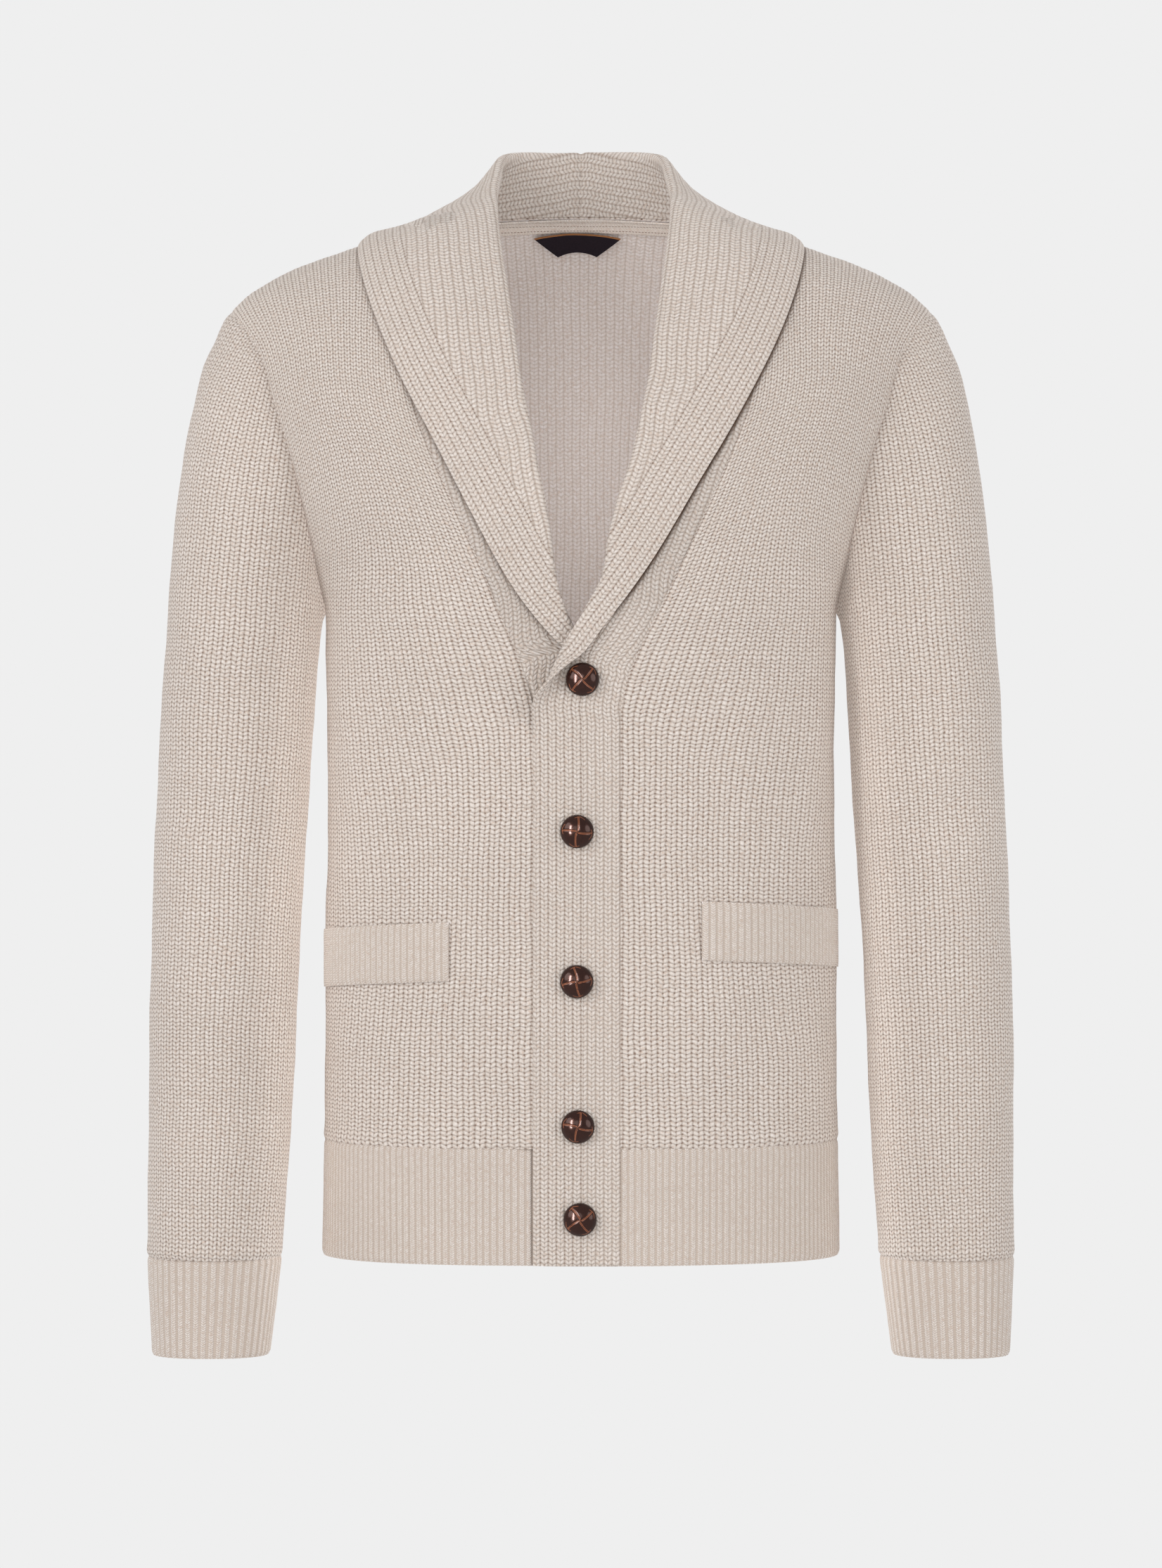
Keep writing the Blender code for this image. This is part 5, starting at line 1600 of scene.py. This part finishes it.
def sleeve_wales(side, sheet):
    """Wales that run straight up the sleeve and end at the armhole.

    Above the underarm they keep their distance from the sleeve's outer side.
    Gives the counts, and how far each point lies below that part, 0 to 1.
    """
    even = counted(sheet, SLEEVE_WALES)
    x, y, z = side * sheet.points[..., 0], sheet.points[..., 1], sheet.points[..., 2]
    heights, reach = np.array(SLEEVE_OUTER).T
    half = (np.interp(CAP_Z, heights, reach) - smooth_table(SLEEVE_INNER, CAP_Z)) / 2
    across = (x - np.interp(z, heights, reach) + half) / half
    depth = -y / SLEEVE_RINGS[8][2]
    angle = np.arctan2(depth, across)
    own = math.pi - 2 * math.pi * np.linspace(0, 1, sheet.columns)
    angle += 2 * math.pi * np.round((own - angle) / (2 * math.pi))
    level = int(np.argmin(np.abs(z.mean(axis=1) - CAP_Z)))
    turns, counts = -angle[level, :-1], even[level, :-1]
    turns = np.concatenate([turns[-9:] - 2 * math.pi, turns, turns[:9] + 2 * math.pi])
    counts = np.concatenate([counts[-9:] - SLEEVE_WALES, counts, counts[:9] + SLEEVE_WALES])
    straight = np.interp(-angle, turns, counts)
    below = np.clip((CAP_Z - z) / 80, 0, 1)
    below = below * below * (3 - 2 * below)
    wales = straight + (even - straight) * below
    wales[:, -1] = wales[:, 0] + SLEEVE_WALES
    return wales, below


class CARDIGAN_OT_sleeves(bpy.types.Operator):
    """Knit both sleeves, each a tube from its armhole to its cuff"""

    bl_idname = "cardigan.sleeves"
    bl_label = "Sleeves"

    def execute(self, context):
        back, fronts = body_panels()
        top = len(ROWS) - 1
        for side, word in SIDES:
            edge = back.columns - 1 if side > 0 else 0
            armhole = [fronts[side].points[i][0] for i in range(UNDERARM_ROW, top + 1)]
            armhole += [back.points[i][edge] for i in range(top - 1, UNDERARM_ROW, -1)]
            rows = sleeve_grid(side, armhole)
            sheet = fine_panel(rows, SLEEVE_WALES * WALE_STEPS, closed=True, flip=side > 0)
            sheet = creased(sheet, CREASES["sleeve_" + word])
            wales, relief = sleeve_wales(side, sheet)
            seams = (("bottom", 0.3), ("top", 1.0))
            name = "sleeve_" + word
            maps = {"knit": (wales, -even_rows(sheet, wales, ROW))}
            piece = plain_knit(name + "_knit", sheet, maps, seams, context, relief)
            stand_for(piece, name)
            declare("sleeve")
        return {"FINISHED"}


def collar_sheet(side, fronts, back):
    """Fine sheet of one band and collar, with its distances from its edges."""
    coarse = collar_rows(side, fronts[side])
    seat_collar(side, fronts[side], back, coarse)
    lines, rolls, totals = [], [], []
    for line in fine_lengthways(grid_of(coarse), FINE_ROW):
        knots = running_length(line, 0)
        dense = np.linspace(0, knots[-1], DENSE)
        lengths = running_length(along_curve(knots, line, dense), 0)
        marks = (knots[STAND_SPANS], knots[STAND_SPANS + FOLD_SPANS])
        first, last = np.interp(marks, dense, lengths)
        total = lengths[-1]
        shaped = np.concatenate([
            np.linspace(0, first, STAND_COLUMNS, endpoint=False),
            np.linspace(first, last, FOLD_COLUMNS, endpoint=False),
            np.linspace(last, total, FALL_COLUMNS + 1),
        ])
        even = np.linspace(0, total, len(shaped))
        weight = ease((total - last) / 40)
        at = np.interp(even * (1 - weight) + shaped * weight, lengths, dense)
        lines.append(along_curve(knots, line, at))
        rolls.append((first + last) / 2)
        totals.append(total)
    rolls, totals = np.array(rolls), np.array(totals)
    points = evened_fall(np.array(lines), rolls, totals)
    drawn = NECK_DRAW * eased((points[..., 2] - 4) / 24)
    points[..., 0] -= drawn * np.clip(points[..., 0] / 30, -1, 1)
    return Sheet(points, flip=side > 0), rolls, totals


def evened_fall(points, rolls, totals):
    """Take the small waves out of the fall, most of them at its outer edge."""
    weights = np.exp(-((np.arange(-EVEN_ROWS, EVEN_ROWS + 1) / (EVEN_ROWS / 2)) ** 2))
    weights /= weights.sum()
    smooth = points.copy()
    for _ in range(2):
        padded = np.pad(smooth, ((EVEN_ROWS, EVEN_ROWS), (0, 0), (0, 0)), mode="reflect", reflect_type="odd")
        smooth = sum(w * padded[k : k + len(points)] for k, w in enumerate(weights))
    part = np.clip((np.arange(points.shape[1]) - STAND_COLUMNS - FOLD_COLUMNS) / 24, 0, 1)
    share = fall_share(rolls, totals)[:, None] * (part * part * (3 - 2 * part))[None, :]
    return points + (smooth - points) * share[..., None]


def fall_share(rolls, totals):
    """How fully the fall is turned down at every row, 0 on the band."""
    share = np.clip((totals - rolls - 12) / 12, 0, 1)
    return share * share * (3 - 2 * share)


def shoulder_drape(sheet, rolls, totals):
    """How the fall sinks beside the neck and fills out at its edge.

    Both are greatest where the fall crosses the shoulder.
    """
    out = sheet.from_edge("end")
    past = (totals - rolls)[:, None] - out
    away = sheet.points[..., 1] - SHOULDER_Y
    sunk = np.exp(-((away / SHOULDER_AIR_REACH) ** 2)) * eased(past / 14) * eased((out - 14) / 32)
    full = np.exp(-((away / 32) ** 2) - ((out - 9) / 9) ** 2)
    return NECK_SINK * sunk - EDGE_FULL * full


def curled_edge(sheet, rolls, totals):
    """Slight curl of the fall's outer edge towards the cloth below it."""
    out = sheet.across[:, -1:] - sheet.across
    return EDGE_CURL * fall_share(rolls, totals)[:, None] * np.exp(-((out / 9) ** 2))


class FallEdges:
    """Outer edges of both falls, to measure the cloth below them and its painted shadow from."""

    def __init__(self, sheets):
        lines, inward, depth = [], [], []
        for sheet, rolls, totals in sheets:
            points = sheet.points[fall_share(rolls, totals) > 0.3]
            knots = np.arange(len(points)) * 1.0
            dense = np.linspace(0, len(points) - 1, len(points) * 6)
            line = along_curve(knots, points[:, -1], dense)
            lines.append(line)
            inward.append(along_curve(knots, points[:, -12], dense) - line)
            # strength of the painted shadow beside each edge: weaker beside the right fall and at the back
            side = 1.0 if sheet.flip else CREVICE_RIGHT
            front = np.clip((20 - line[:, 1]) / 60, 0, 1)
            depth.append(side * (CREVICE_BACK + (1 - CREVICE_BACK) * front))
        self.places = np.concatenate(lines)
        self.inward = np.concatenate(inward)
        self.inward /= np.linalg.norm(self.inward, axis=1, keepdims=True)
        self.depth = np.concatenate(depth)
        self.tree = kdtree.KDTree(len(self.places))
        for index, place in enumerate(self.places):
            self.tree.insert(place, index)
        self.tree.balance()

    def measure(self, points):
        """Dip of the cloth pressed down by the edge, and its "under" map of painted shadow."""
        found = [self.tree.find(place) for place in points.reshape(-1, 3)]
        index = np.array([item[1] for item in found])
        away = np.array([item[2] for item in found])
        offset = points.reshape(-1, 3) - self.places[index]
        beyond = -(offset * self.inward[index]).sum(axis=1)
        near = np.clip((14 - away) / 6, 0, 1)
        shape = points.shape[:2]
        dip = -EDGE_PRESS * np.exp(-((away / 6.0) ** 2))
        return dip.reshape(shape), (beyond.reshape(shape), (self.depth[index] * near).reshape(shape))


def slant_of(line, inward):
    """Slant to a line of what leaves it inward."""
    tangent = np.gradient(line, axis=0)
    tangent /= np.linalg.norm(tangent, axis=1, keepdims=True)
    inward = inward / np.linalg.norm(inward, axis=1, keepdims=True)
    slant = np.clip((tangent * inward).sum(axis=1), -0.6, 0.6)
    slant = np.convolve(np.pad(slant, 4, mode="edge"), np.ones(9) / 9, mode="valid")
    return slant[:, None]


def wale_way(sheet, wales):
    """Unit directions in which the wales run up the sheet."""
    over, up = np.gradient(sheet.points, axis=1), np.gradient(sheet.points, axis=0)
    more_over, more_up = np.gradient(wales, axis=1), np.gradient(wales, axis=0)
    e, f, g = (over * over).sum(2), (over * up).sum(2), (up * up).sum(2)
    share_over, share_up = g * more_over - f * more_up, e * more_up - f * more_over
    steepest = over * share_over[..., None] + up * share_up[..., None]
    way = np.cross(sheet.normals, steepest)
    way *= np.sign((way * up).sum(2))[..., None]
    return way / np.linalg.norm(way, axis=2, keepdims=True)


def even_rows(sheet, wales, height):
    """Count of rows square to the wales that keep their height everywhere.

    The rows' slopes wanted between neighbouring points are met as nearly as
    they can be, by the method of conjugate gradients.
    """
    way = wale_way(sheet, wales) / height
    want_over = ((way[:, 1:] + way[:, :-1]) / 2 * np.diff(sheet.points, axis=1)).sum(2)
    want_up = ((way[1:] + way[:-1]) / 2 * np.diff(sheet.points, axis=0)).sum(2)

    def gather(over, up):
        total = np.zeros(sheet.across.shape)
        total[:, 1:] += over * ROW_SHEAR
        total[:, :-1] -= over * ROW_SHEAR
        total[1:] += up
        total[:-1] -= up
        return total

    rows = sheet.along / height
    def applied(field):
        return gather(np.diff(field, axis=1), np.diff(field, axis=0))

    rest = gather(want_over, want_up) - applied(rows)
    step, size = rest.copy(), (rest * rest).sum()
    for _ in range(ROW_ROUNDS):
        pushed = applied(step)
        amount = size / (step * pushed).sum()
        rows += step * amount
        rest -= pushed * amount
        size, before = (rest * rest).sum(), size
        step = rest + step * (size / before)
    return rows


def collar_ribs(sheet, rolls, totals):
    """Ribs and rows beside the outer edge, and ribs and rows beside the roll."""
    points = sheet.points
    out = sheet.across[:, -1:] - sheet.across
    fall = (totals - rolls)[:, None]
    slant = slant_of(points[:, -1], points[:, -12] - points[:, -1])
    edge = out * np.sqrt(1 - slant ** 2) / EDGE_PITCH
    fold = STAND_COLUMNS + FOLD_COLUMNS
    slant = slant_of(points[:, fold], points[:, fold + 12] - points[:, fold])
    past = out - fall
    broad = np.clip((fall - 13) / 50, 0, 1)
    pitch = EDGE_PITCH + (ROLL_PITCH - EDGE_PITCH) * broad * broad * (3 - 2 * broad)
    first = np.minimum(fall / EDGE_PITCH, 2.6)
    lean = np.sqrt(1 - slant ** 2)
    roll = first + past * lean / pitch
    back = sheet.from_edge("top")
    sloped = CHEVRON * CHEVRON_REACH * (1 - np.exp(-back / CHEVRON_REACH))
    roll = roll - sloped * np.clip(past / 5, 0, 1) / pitch
    return [(wales, even_rows(sheet, wales, COLLAR_ROW)) for wales in (edge, roll)]


class CARDIGAN_OT_collar(bpy.types.Operator):
    """Knit both button bands, each in one length with its half of the collar"""

    bl_idname = "cardigan.collar"
    bl_label = "Bands and Collar"

    def execute(self, context):
        sizes, colours = context.scene.cardigan_sizes, context.scene.cardigan_colours
        back, fronts = body_panels()
        cloth = collar_material((*colours.knit, 1.0))
        sheets = {side: collar_sheet(side, fronts, back) for side, _ in SIDES}
        edges = FallEdges(sheets.values())
        for side, word in SIDES:
            sheet, rolls, totals = sheets[side]
            edge, roll = collar_ribs(sheet, rolls, totals)
            inside = edge[0] > EDGE_RIBS
            ribs = np.where(inside, roll[0], edge[0])
            turned = fall_share(rolls, totals)[:, None]
            raised = (rib_shape(ribs, 0.06) - 0.55) * sizes.collar_rise / MM * (1 - 0.6 * turned)
            hem = bump_at(sheet.from_edge("end"), 0.0, 1.5, -0.9)
            hem = hem + bump_at(sheet.from_edge("bottom"), 0.0, 1.0, -0.8)
            seam = sewn(sheet, ("start", 0.55, 0.3), ("top", 0.8, 0.2))
            waves = uneven(sheet.points, sizes.softness / MM * 0.7)
            waves = waves + curled_edge(sheet, rolls, totals) + shoulder_drape(sheet, rolls, totals)
            # beyond and depth: distance from a fall's edge and strength of the painted shadow beside it, kept to the
            # stand's columns below the fall
            dip, (beyond, depth) = edges.measure(sheet.points)
            lower = np.arange(sheet.columns) < STAND_COLUMNS
            waves = waves + dip * lower
            pressed = 0.0
            if side > 0:
                pressed = BAND_PRESS * (1 - turned) * np.exp(-((sheet.from_edge("end") / 9) ** 2))
            half = WALL / 2 - 0.1
            # inner: share of the painted shade on the stand, rising over 4 mm past the roll
            inner = turned * np.clip(sheet.across[:, -1:] - sheet.across - (totals - rolls)[:, None], 0, 4) / 4
            maps = {
                "knit": edge, "roll": roll, "under": (beyond, depth * turned * lower),
                "stand": (inner, inner),
            }
            piece = cloth_object(
                "collar_" + word + "_rib", sheet, half + raised + hem + seam + waves - pressed,
                -half - raised - hem - seam + waves - pressed * 0.45, maps, [cloth],
            )
            stand_for(piece, "collar_" + word)
            declare("collar")
        return {"FINISHED"}


def rib_sheet(bottom, top, pitch, step, closed=False, flip=False):
    """Sheet between two lines of points, and its number of ribs."""
    ribs = round(run_length(top) / pitch)
    rows = [even_points(line, ribs * RIB_STEPS) for line in (bottom, top)]
    points = fine_lengthways(grid_of(rows), step)
    if closed:
        points[:, -1] = points[:, 0]
    return Sheet(points, closed, flip), ribs


def rib_count(sheet, ribs, shift=0.5):
    parts = np.linspace(0, ribs, sheet.columns) + shift
    return np.broadcast_to(parts, sheet.across.shape).copy()


class CARDIGAN_OT_hem(bpy.types.Operator):
    """Knit the hem rib of the back and of both fronts"""

    bl_idname = "cardigan.hem"
    bl_label = "Hem Rib"

    def execute(self, context):
        halves = [smooth_table(HALF_WIDTH, z) for z in (HEM_Z, HEM_SEAM_Z)]
        lines = [
            section_line(z, -half, half, back_face)
            for z, half in zip((HEM_Z, HEM_SEAM_Z), halves)
        ]
        pieces = [("hem_back", "hem_back", lines, True)]
        for side, word in SIDES:
            def face(x, z, side=side):
                return front_face(x, z, side)

            lines = [
                section_line(z, side * half, neckline_point(side, z).x, face)
                for z, half in zip((HEM_Z, HEM_SEAM_Z), halves)
            ]
            pieces.append(("hem_front_" + word, "hem_front", lines, side > 0))
        for name, cut, (bottom, top), flip in pieces:
            sheet, ribs = rib_sheet(bottom, top, RIB_PITCH, FINE_ROW, flip=flip)
            count = rib_count(sheet, ribs, 0.0)
            piece = rib_piece(
                name + "_rib", sheet, count, 0.3, sheet.along / RIB_ROW, (0.0, -WALL), "rib_hem",
                context, free="bottom", seams=("top", "start", "end"),
            )
            stand_for(piece, name)
            declare(cut)
        return {"FINISHED"}


class CARDIGAN_OT_cuffs(bpy.types.Operator):
    """Knit both cuff ribs"""

    bl_idname = "cardigan.cuffs"
    bl_label = "Cuffs"

    def execute(self, context):
        for side, word in SIDES:
            lines = []
            for z in (CUFF_Z, CUFF_SEAM_Z):
                ring = (z, z, smooth_table(CUFF_DEPTHS, z), smooth_table(CUFF_MIDDLE, z))
                oval = ring_frame(side, ring)
                turns = [-2 * math.pi * i / CUFF_STEPS for i in range(CUFF_STEPS + 1)]
                lines.append([ring_point(oval, turn) for turn in turns])
            sheet, ribs = rib_sheet(*lines, CUFF_RIB_PITCH, FINE_ROW, closed=True, flip=side < 0)
            name = "cuff_" + word
            piece = rib_piece(
                name + "_rib", sheet, rib_count(sheet, ribs), 0.42, sheet.along / RIB_ROW,
                (0.0, -WALL), "rib_cuff", context, free="bottom", seams=("top",),
            )
            stand_for(piece, name)
            declare("cuff")
        return {"FINISHED"}


class CARDIGAN_OT_welts(bpy.types.Operator):
    """Knit both pocket welts"""

    bl_idname = "cardigan.welts"
    bl_label = "Pocket Welts"

    def execute(self, context):
        for word, inner_x, inner_z, side_z in WELTS:
            side = 1 if word == "left" else -1
            lines = []
            for drop in (WELT_HEIGHT, 0.0):
                stops = welt_stops(inner_x, inner_z - drop, side_z - drop)
                lines.append([
                    front_face(side * x, mix(inner_z, side_z, part) - drop, side)
                    for x, part in stops
                ])
            sheet, ribs = rib_sheet(*lines, WELT_RIB_PITCH, FINE_ROW, flip=side < 0)
            sheet = creased(sheet, CREASES["front_" + word])
            count = rib_count(sheet, ribs, 0.0)
            thin = np.clip(1 - sheet.from_edge("end") / WELT_TAPER, 0, 1) ** 2
            out = WELT_GAP + WELT_WALL * (1 - 0.7 * thin)
            for edge in ("top", "bottom", "start"):
                out = out + bump_at(sheet.from_edge(edge), 0.0, 1.6, -1.0) * (1 - thin)
            name = "pocket_welt_" + word
            piece = rib_piece(
                name + "_rib", sheet, count, 0.3, sheet.along / RIB_ROW, (out, WELT_GAP),
                "rib_hem", context,
            )
            stand_for(piece, name)
            declare("welt")
        return {"FINISHED"}


class CARDIGAN_OT_neck_trim(bpy.types.Operator):
    """Sew in the neck tape and the blank label"""

    bl_idname = "cardigan.neck_trim"
    bl_label = "Neck Tape and Label"

    def execute(self, context):
        colours = context.scene.cardigan_colours
        back, _ = body_panels()
        coarse = grid_of(tape_grid(back))
        points = fine_lengthways(coarse, 1.5)
        parts = np.linspace(0, 1, 241)
        sheet = Sheet(np.array([fine_line(line, parts) for line in points]), flip=True)
        under = CLOTH + TRIM_GAP
        maps = {
            "knit": (sheet.across / 1.7, sheet.along / 1.1),
            "lines": (sheet.across / 2.2, sheet.along / sheet.along[-1:] * 3),
        }
        rounding = bump_at(sheet.from_edge("top"), 0, 0.8, -0.3)
        rounding = rounding + bump_at(sheet.from_edge("bottom"), 0, 0.8, -0.3)
        tape = cloth_object(
            "neck_tape_knit", sheet, np.full(sheet.across.shape, -under),
            -under - TAPE_CLOTH - rounding, maps, [tape_material((*colours.tape, 1.0))],
        )
        stand_for(tape, "neck_tape")
        declare("neck_tape")
        coarse = grid_of(label_grid())
        points = fine_lengthways(coarse, 1.2)
        parts = np.linspace(0, 1, 61)
        sheet = Sheet(np.array([fine_line(line, parts) for line in points]), flip=True)
        under += TAPE_CLOTH + LABEL_GAP
        wide = np.broadcast_to(parts, sheet.across.shape)
        maps = {"weave": (wide, sheet.along / sheet.along[-1:])}
        soft = uneven(sheet.points * 2.5, 0.12)
        label = cloth_object(
            "neck_label_satin", sheet, -under + soft, -under - LABEL_CLOTH + soft, maps,
            [label_material((*colours.label, 1.0), (*colours.label_edge, 1.0))],
        )
        stand_for(label, "neck_label")
        declare("neck_label")
        return {"FINISHED"}


def button_line(arm, aside):
    """Depth of the groove where two leather strips meet."""
    bend = LINE_BEND * arm * arm - LINE_OFFSET
    return math.exp(-(((aside - bend) / 0.05) ** 2)) * (0.0 < arm < 0.95)


class CARDIGAN_OT_buttons(bpy.types.Operator):
    """Cover the five buttons with woven leather"""

    bl_idname = "cardigan.buttons"
    bl_label = "Buttons"

    def execute(self, context):
        colours = context.scene.cardigan_colours
        leather = leather_material((*colours.leather, 1.0), (*colours.leather_line, 1.0))
        for number, ((x, z), turn) in enumerate(zip(BUTTON_SPOTS, BUTTON_TURNS), start=1):
            mesh = bmesh.new()
            bmesh.ops.create_uvsphere(mesh, u_segments=144, v_segments=40, radius=1.0)
            layer = mesh.loops.layers.uv.new("face")
            for face in mesh.faces:
                for loop in face.loops:
                    loop[layer].uv = loop.vert.co.xy
            for vert in mesh.verts:
                across, up, high = vert.co
                angle = math.atan2(up, across)
                quarter = round(angle / (math.pi / 2)) * math.pi / 2
                radius = math.hypot(across, up)
                arm, aside = radius * math.cos(angle - quarter), radius * math.sin(angle - quarter)
                dome = BUTTON_HEIGHT - BUTTON_RIM
                level = BUTTON_RIM + dome * high
                level -= 0.30 * button_line(arm, aside) if high > 0 else 0.0
                if high < 0:
                    level = BUTTON_RIM * max(0.0, 1 + 1.5 * high)
                    radius = min(radius, 1 + high * 0.2)
                notch = 0.010 * math.cos(angle * 36) * math.exp(-((high - 0.05) / 0.12) ** 2)
                wide = BUTTON_RADIUS * (radius + notch - 0.010)
                vert.co = Vector((wide * math.cos(angle), wide * math.sin(angle), level))
            face = front_face(x, z, 1)
            normal = face_normal(x, z, 1, BUTTON_RADIUS / 2)
            turned = normal.to_track_quat("Z", "Y")
            for vert in mesh.verts:
                spot = Vector(vert.co)
                a = math.radians(turn)
                spot.x, spot.y = (
                    spot.x * math.cos(a) - spot.y * math.sin(a),
                    spot.x * math.sin(a) + spot.y * math.cos(a),
                )
                vert.co = (face + normal * TRIM_GAP + turned @ spot) * MM
            name = "button_" + str(number)
            piece = mesh_object(name + "_leather", mesh, [leather])
            stand_for(piece, name)
        return {"FINISHED"}


SLIT_POWER = 0.85           # W, lamp that fills the inner side of a sleeve
SIDE_POWER = 0.32           # W, lamp that fills the side of the body
SHINE_POWER = 80.0          # W, lamp that the polished buttons mirror


def area_lamp(name, place, goal, size, power, only=()):
    """Soft lamp; one that lights some pieces only throws no shadow."""
    lamp = bpy.data.lights.new(name, "AREA")
    lamp.shape = "RECTANGLE" if only else "ELLIPSE"
    lamp.size, lamp.size_y = size
    lamp.energy = power
    holder = bpy.data.objects.new(name, lamp)
    holder.location = place
    aim = Vector(goal) - Vector(place)
    holder.rotation_euler = aim.to_track_quat("-Z", "Y").to_euler()
    holder.visible_camera = False
    bpy.context.scene.collection.objects.link(holder)
    if only:
        lamp.use_shadow = False
        lit = bpy.data.collections.new(name + "_lights")
        for piece in only:
            lit.objects.link(bpy.data.objects[piece])
        holder.light_linking.receiver_collection = lit


CAMERA_DISTANCE = 3.5       # m
CAMERA_HEIGHT = -0.359
LENS = 126.97
FLOOR_Z = -1.45
BACKDROP_Y = 2.2
STAGE_RADIUS = 9.0          # m, of the pale surround


class CARDIGAN_OT_stage(bpy.types.Operator):
    """Lay the pale floor and backdrop, and place the lights and the camera"""

    bl_idname = "cardigan.stage"
    bl_label = "Floor, Lights and Camera"

    def execute(self, context):
        scene = context.scene
        scene.view_settings.view_transform = "Standard"
        scene.view_settings.look = "None"
        mesh = bmesh.new()
        bmesh.ops.create_grid(mesh, x_segments=1, y_segments=40, size=1.0)
        sweep = 1.2
        for vert in mesh.verts:
            part = (vert.co.y + 1) / 2
            side = vert.co.x * 9.0
            if part < 0.5:
                y, z = -9.0 + (BACKDROP_Y - sweep + 9.0) * part / 0.5, FLOOR_Z
            elif part < 0.75:
                turn = (part - 0.5) / 0.25 * math.pi / 2
                y = BACKDROP_Y - sweep + sweep * math.sin(turn)
                z = FLOOR_Z + sweep * (1 - math.cos(turn))
            else:
                y, z = BACKDROP_Y, FLOOR_Z + sweep + (part - 0.75) / 0.25 * 5.0
            vert.co = (side, y, z)
        material = new_material("stage_paper", 1.0)
        nodes = Nodes(material)
        tone = (*scene.cardigan_colours.stage, 1.0)
        nodes.shader.inputs["Base Color"].default_value = (0.0, 0.0, 0.0, 1.0)
        nodes.shader.inputs["Specular IOR Level"].default_value = 0.0
        nodes.shader.inputs["Emission Color"].default_value = tone
        nodes.shader.inputs["Emission Strength"].default_value = 1.0
        material.cycles.emission_sampling = "NONE"
        bounce = mesh_object("bounce", mesh, [material])
        bounce.visible_camera = False
        bounce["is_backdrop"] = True
        mesh = bmesh.new()
        bmesh.ops.create_uvsphere(mesh, u_segments=64, v_segments=32, radius=STAGE_RADIUS)
        for vert in mesh.verts:
            vert.co.z = max(vert.co.z, FLOOR_Z)
        floor = mesh_object("floor", mesh, [material])
        floor.visible_diffuse = floor.visible_glossy = floor.visible_shadow = False
        floor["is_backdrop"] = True

        world = bpy.data.worlds.new("studio")
        scene.world = world
        world.use_nodes = True
        world.node_tree.nodes["Background"].inputs["Color"].default_value = (1.0, 1.0, 1.0, 1.0)
        world.node_tree.nodes["Background"].inputs["Strength"].default_value = 0.70
        middle = (0.0, 0.0, -0.33)
        area_lamp("key", (-2.5, -2.4, 0.8), middle, (2.2, 2.2), 50.0)
        area_lamp("fill", (2.7, -2.3, 0.1), middle, (2.0, 2.0), 32.0)
        area_lamp("front", (-0.3, -3.6, 0.0), middle, (1.6, 1.6), 15.0)
        area_lamp("back", (0.4, 1.9, 0.4), middle, (1.5, 1.5), 24.0)
        area_lamp("neck", (0.0, -0.045, -0.16), (0.0, 0.1, -0.15), (0.12, 0.12), 0.12)
        for side, word in SIDES:
            sleeve = ("sleeve_" + word + "_knit", "cuff_" + word + "_rib")
            body = ("front_" + word + "_knit", "hem_front_" + word + "_rib", "pocket_welt_" + word + "_rib")
            strip = (0.1, 0.66)
            area_lamp("under_arm_" + word, (0.0, 0.05, -0.39), (side * 0.2, -0.01, -0.39), strip, SLIT_POWER, sleeve)
            area_lamp("beside_" + word, (side * 0.45, 0.1, -0.39), (side * 0.16, 0.0, -0.39), strip, SIDE_POWER, body)
        buttons = ["button_" + str(number) + "_leather" for number in range(1, len(BUTTON_SPOTS) + 1)]
        area_lamp("shine", (-1.15, -2.3, -0.2), middle, (0.32, 1.5), SHINE_POWER, buttons)
        camera = bpy.data.cameras.new("camera")
        camera.lens = LENS
        holder = bpy.data.objects.new("camera", camera)
        holder.location = (0.0, -CAMERA_DISTANCE, CAMERA_HEIGHT)
        holder.rotation_euler = (math.radians(90), 0.0, 0.0)
        scene.collection.objects.link(holder)
        scene.camera = holder
        return {"FINISHED"}


OPERATORS = (
    CARDIGAN_OT_back,
    CARDIGAN_OT_fronts,
    CARDIGAN_OT_sleeves,
    CARDIGAN_OT_collar,
    CARDIGAN_OT_hem,
    CARDIGAN_OT_cuffs,
    CARDIGAN_OT_welts,
    CARDIGAN_OT_neck_trim,
    CARDIGAN_OT_buttons,
    CARDIGAN_OT_stage,
)


class CARDIGAN_PT_panel(bpy.types.Panel):
    """Lists the steps that build the cardigan"""

    bl_idname = "CARDIGAN_PT_panel"
    bl_label = "Shawl Collar Cardigan"
    bl_space_type = "VIEW_3D"
    bl_region_type = "UI"
    bl_category = "Cardigan"

    def draw(self, context):
        sizes, colours = context.scene.cardigan_sizes, context.scene.cardigan_colours
        column = self.layout.column()
        for group in (sizes, colours):
            for name in group.bl_rna.properties.keys():
                if name not in ("rna_type", "name"):
                    column.prop(group, name)
        for operator in OPERATORS:
            column.operator(operator.bl_idname)


CLASSES = (CardiganSizes, CardiganColours, *OPERATORS, CARDIGAN_PT_panel)


def register():
    for item in CLASSES:
        bpy.utils.register_class(item)
    bpy.types.Scene.cardigan_sizes = bpy.props.PointerProperty(type=CardiganSizes)
    bpy.types.Scene.cardigan_colours = bpy.props.PointerProperty(type=CardiganColours)


def unregister():
    del bpy.types.Scene.cardigan_colours
    del bpy.types.Scene.cardigan_sizes
    for item in reversed(CLASSES):
        bpy.utils.unregister_class(item)


def main():
    """Build every piece in order and measure the size of the frame and the looks."""
    register()
    for operator in OPERATORS:
        group, name = operator.bl_idname.split(".")
        getattr(getattr(bpy.ops, group), name)()
    boxes = {"frame": frame_box, "visual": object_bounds()}
    {key: [list(corner) for corner in box] for key, box in boxes.items()}


if __name__ == "__main__":
    main()
